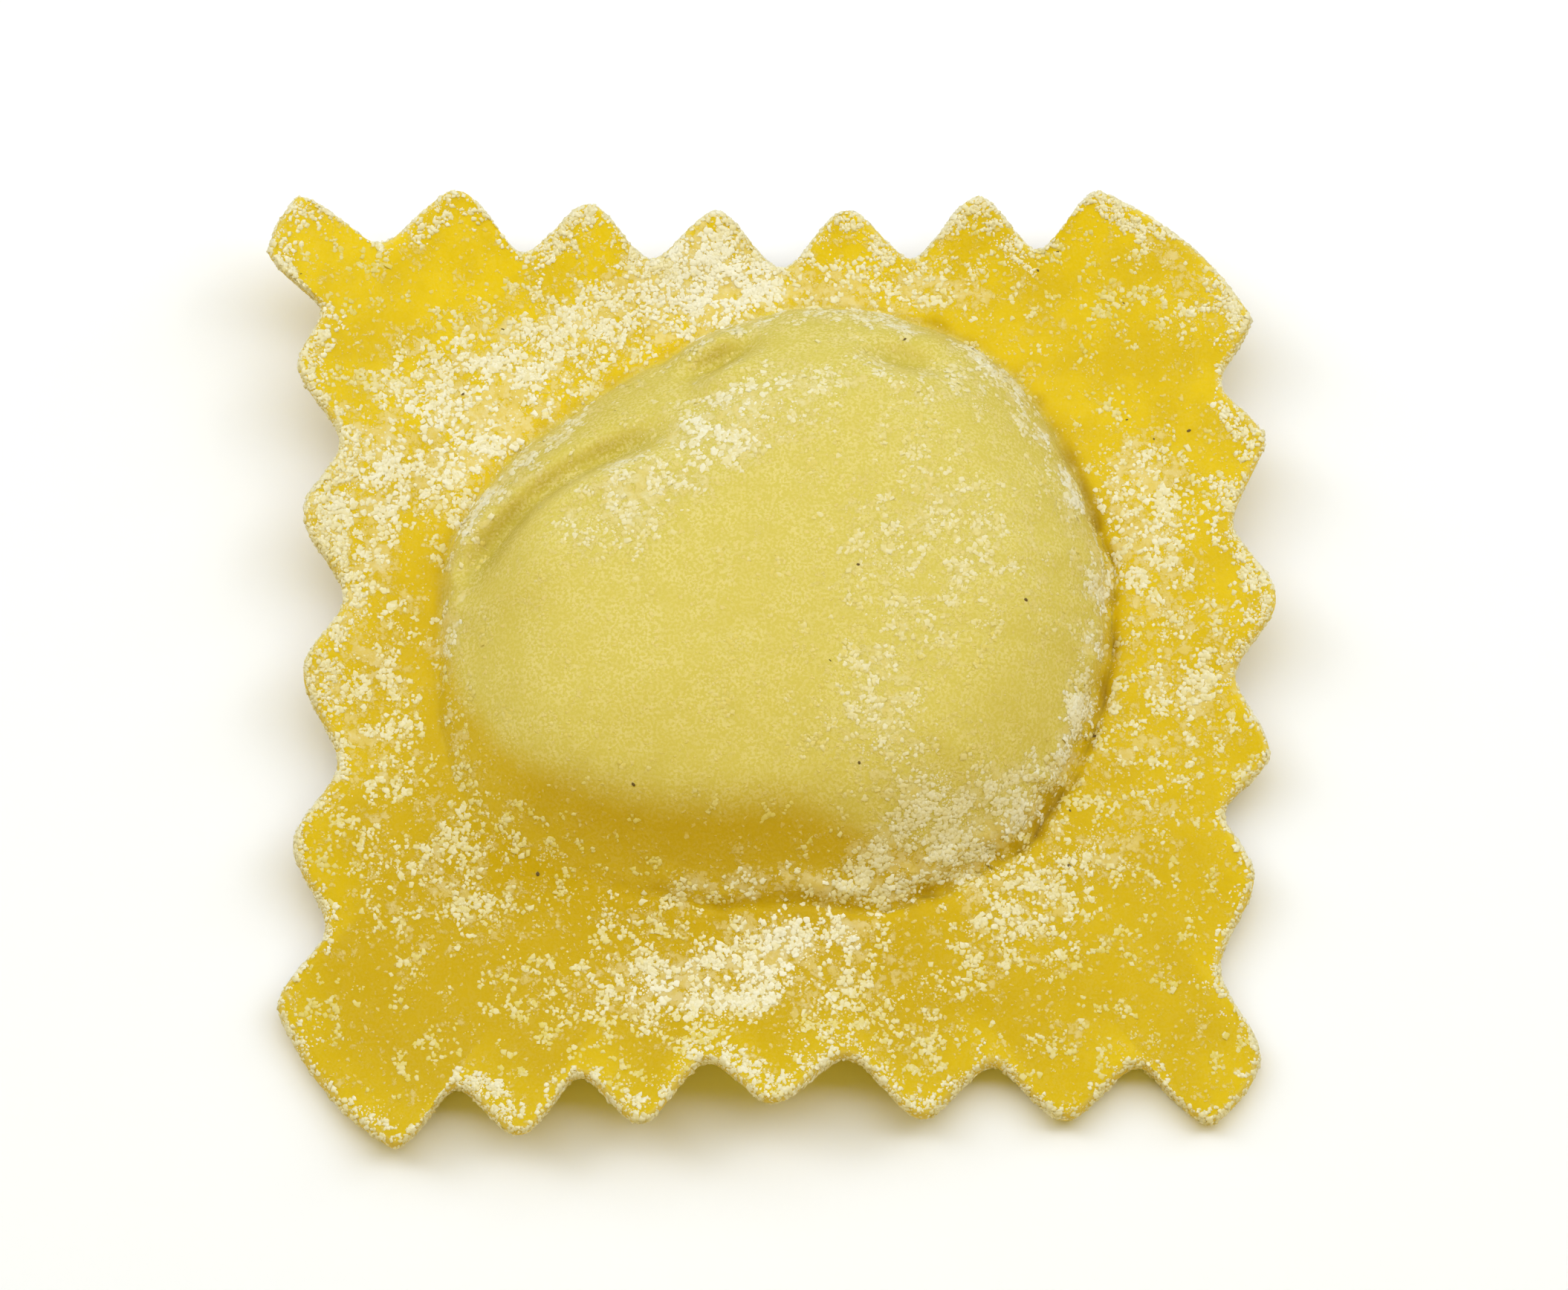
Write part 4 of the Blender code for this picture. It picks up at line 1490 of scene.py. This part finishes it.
    def material(self) -> bpy.types.Material:
        """Makes the material.

        Returns:
            The material.
        """
        material, nodes, shader = new_material("egg_dough")
        place = nodes.add("ShaderNodeTexCoord").outputs["Object"]
        drift = nodes.maths("SUBTRACT", nodes.noise(place, *self.drift_hills), 0.5)
        cover = nodes.maths("ADD", nodes.mark("dust"), nodes.maths("MULTIPLY", drift, self.drift))
        cover = nodes.between(cover, 0.0, 1.0)
        powder = self.powdered(nodes, place, cover)
        lumps = nodes.between(nodes.noise(place, *self.lump_hills), *self.patchy_edges)
        flour = nodes.blend(nodes.maths("MULTIPLY", lumps, cover), self.powder, self.thick_powder)
        shown = nodes.maths("MULTIPLY", powder, self.powder_share)
        dusted = nodes.blend(shown, self.colour(nodes, place), flour)
        nodes.tree.links.new(dusted, shader.inputs["Base Color"])
        nodes.tree.links.new(nodes.line(powder, *self.rough_range), shader.inputs["Roughness"])
        height = nodes.line(nodes.noise(place, *self.bump_hills), self.bump_share, powder)
        bump = nodes.add("ShaderNodeBump", {
            "Height": height, "Strength": self.bump_strength, "Distance": self.bump_height,
        })
        nodes.tree.links.new(bump.outputs["Normal"], shader.inputs["Normal"])
        shader.inputs["Specular IOR Level"].default_value = self.specular
        shader.inputs["Subsurface Weight"].default_value = self.subsurface
        shader.inputs["Subsurface Radius"].default_value = self.subsurface_radius
        shader.inputs["Subsurface Scale"].default_value = self.subsurface_scale
        return material


@dataclass(frozen=True)
class SemolinaFinish:
    """Dry semolina: cream, each grain a little different."""

    pale: Colour = srgb(242, 235, 204)
    warm: Colour = srgb(225, 205, 106)
    rough_range: Plan = (0.3, 0.5)
    specular: float = 0.2

    def material(self) -> bpy.types.Material:
        """Makes the material.

        Returns:
            The material.
        """
        material, nodes, shader = new_material("semolina")
        cream = nodes.blend(nodes.mark("tint"), self.pale, self.warm)
        nodes.tree.links.new(cream, shader.inputs["Base Color"])
        nodes.tree.links.new(nodes.line(nodes.mark("tint"), *self.rough_range), shader.inputs["Roughness"])
        shader.inputs["Specular IOR Level"].default_value = self.specular
        return material


@dataclass(frozen=True)
class BranFinish:
    """Dark bran."""

    dark: Colour = srgb(88, 70, 22)
    light: Colour = srgb(120, 92, 24)
    hills: Plan = (4000.0, 2.0)
    roughness: float = 0.7

    def material(self) -> bpy.types.Material:
        """Makes the material.

        Returns:
            The material.
        """
        material, nodes, shader = new_material("bran")
        place = nodes.add("ShaderNodeTexCoord").outputs["Object"]
        brown = nodes.blend(nodes.noise(place, *self.hills), self.dark, self.light)
        nodes.tree.links.new(brown, shader.inputs["Base Color"])
        shader.inputs["Roughness"].default_value = self.roughness
        return material


# The table, the light and the camera


@dataclass
class Lamp:
    """A soft light: where it stands in metres, its width and depth, and its power in watts."""

    place: tuple[float, float, float]
    size: Plan
    power: float
    colour: Colour = (0.83, 0.885, 1.0)

    def build(self, name: str) -> None:
        """Adds the light, turned to the table's middle.

        Args:
            name: its name.
        """
        lamp = bpy.data.lights.new(name, "AREA")
        lamp.shape = "RECTANGLE"
        lamp.size, lamp.size_y = self.size
        lamp.energy = self.power
        lamp.color = self.colour
        holder = placed(name, lamp)
        holder.location = self.place
        holder.rotation_euler = Vector(self.place).to_track_quat("Z", "Y").to_euler()


@dataclass
class Studio:
    """A white table under soft lights from above, behind and both sides, and the photograph's view.

    The room gives a faint even light, stronger and yellower from the front. Places and lengths here are in
    metres, and the lens is in millimetres.
    """

    elevation: float = 74.0
    distance: float = 0.5
    lens: float = 223.5
    aim: tuple[float, float, float] = (0.0007, 0.0011, 0.003)
    table_size: float = 3.0
    table_white: Colour = (0.98, 0.98, 0.98)
    table_roughness: float = 0.9
    table_specular: float = 0.1
    lamps: tuple[Lamp, ...] = (
        Lamp((0.02, 0.15, 0.62), (1.8, 0.16), 2.76),
        Lamp((0.0, 0.3, 0.56), (1.2, 0.6), 3.2),
        Lamp((-0.55, 0.28, 0.42), (0.3, 0.5), 1.14),
        Lamp((0.55, 0.28, 0.42), (0.3, 0.5), 1.18),
    )
    room: Colour = (1.0, 0.9, 0.6)
    room_front: Colour = (1.0, 0.76, 0.02)
    room_strength: float = 0.06
    front_strength: float = 0.56
    front_edges: Plan = (0.1, -0.5)
    backdrop: Colour = (1.0, 1.0, 1.0)

    def build_table(self) -> Piece:
        """Makes the table's top, as a stage.

        Returns:
            The finished object, at the origin.
        """
        bm = bmesh.new()
        bmesh.ops.create_grid(bm, x_segments=1, y_segments=1, size=self.table_size / 2.0)
        mesh = made_mesh("table", bm)
        material, _, shader = new_material("white_table")
        shader.inputs["Base Color"].default_value = (*self.table_white, 1.0)
        shader.inputs["Roughness"].default_value = self.table_roughness
        shader.inputs["Specular IOR Level"].default_value = self.table_specular
        mesh.materials.append(material)
        return placed("table", mesh)

    def build_lights(self) -> None:
        """Makes the lamps and the light of the room."""
        for number, lamp in enumerate(self.lamps):
            lamp.build(f"lamp_{number + 1}")
        world = bpy.data.worlds.new("room")
        world.use_nodes = True
        nodes = NodeTree(world.node_tree)
        background = world.node_tree.nodes["Background"]
        seen = nodes.add("ShaderNodeLightPath").outputs["Is Camera Ray"]
        way = nodes.add("ShaderNodeTexCoord").outputs["Generated"]
        forward = nodes.add("ShaderNodeSeparateXYZ", {"Vector": way}).outputs["Y"]
        front = nodes.between(forward, *self.front_edges)
        room = nodes.blend(front, self.room, self.room_front)
        nodes.tree.links.new(nodes.blend(seen, room, self.backdrop), background.inputs["Color"])
        strength = nodes.line(front, self.front_strength - self.room_strength, self.room_strength)
        nodes.tree.links.new(nodes.maths("MAXIMUM", strength, seen), background.inputs["Strength"])
        bpy.context.scene.world = world
        bpy.context.scene.view_settings.view_transform = "Standard"

    def build_camera(self) -> None:
        """Makes the camera at the photograph's angle."""
        tilt = math.radians(self.elevation)
        back = Vector((0.0, -math.cos(tilt), math.sin(tilt)))
        lens = bpy.data.cameras.new("camera")
        lens.lens = self.lens
        camera = placed("camera", lens)
        camera.location = Vector(self.aim) + back * self.distance
        camera.rotation_euler = back.to_track_quat("Z", "Y").to_euler()
        bpy.context.scene.camera = camera


def attach(piece: Piece, material: bpy.types.Material) -> None:
    """Gives a piece its finish and its body, and reports it.

    Args:
        piece: the finished piece.
        material: its finish.
    """
    piece.data.materials.append(material)
    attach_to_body(piece, BODY)
    log.info("%s: %d faces", piece.name, len(piece.data.polygons))


def main() -> None:
    """Builds the dough, the semolina, the bran and the studio, in that order."""
    dusting = Dusting()
    dough = Dough()
    skin_piece = dough.build(dusting)
    dough.mark(skin_piece, dusting)
    attach(skin_piece, DoughFinish().material())
    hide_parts(NODE)
    skin = Skin(skin_piece)
    semolina = Semolina(dusting)
    finish = SemolinaFinish().material()
    for kind in semolina.kinds:
        attach(semolina.build(kind, skin, dough.middle), finish)
    attach(Bran().build(skin, dough.middle), BranFinish().material())
    studio = Studio()
    studio.build_table()
    studio.build_lights()
    studio.build_camera()


if __name__ == "__main__":
    logging.basicConfig(level=logging.INFO)
    main()
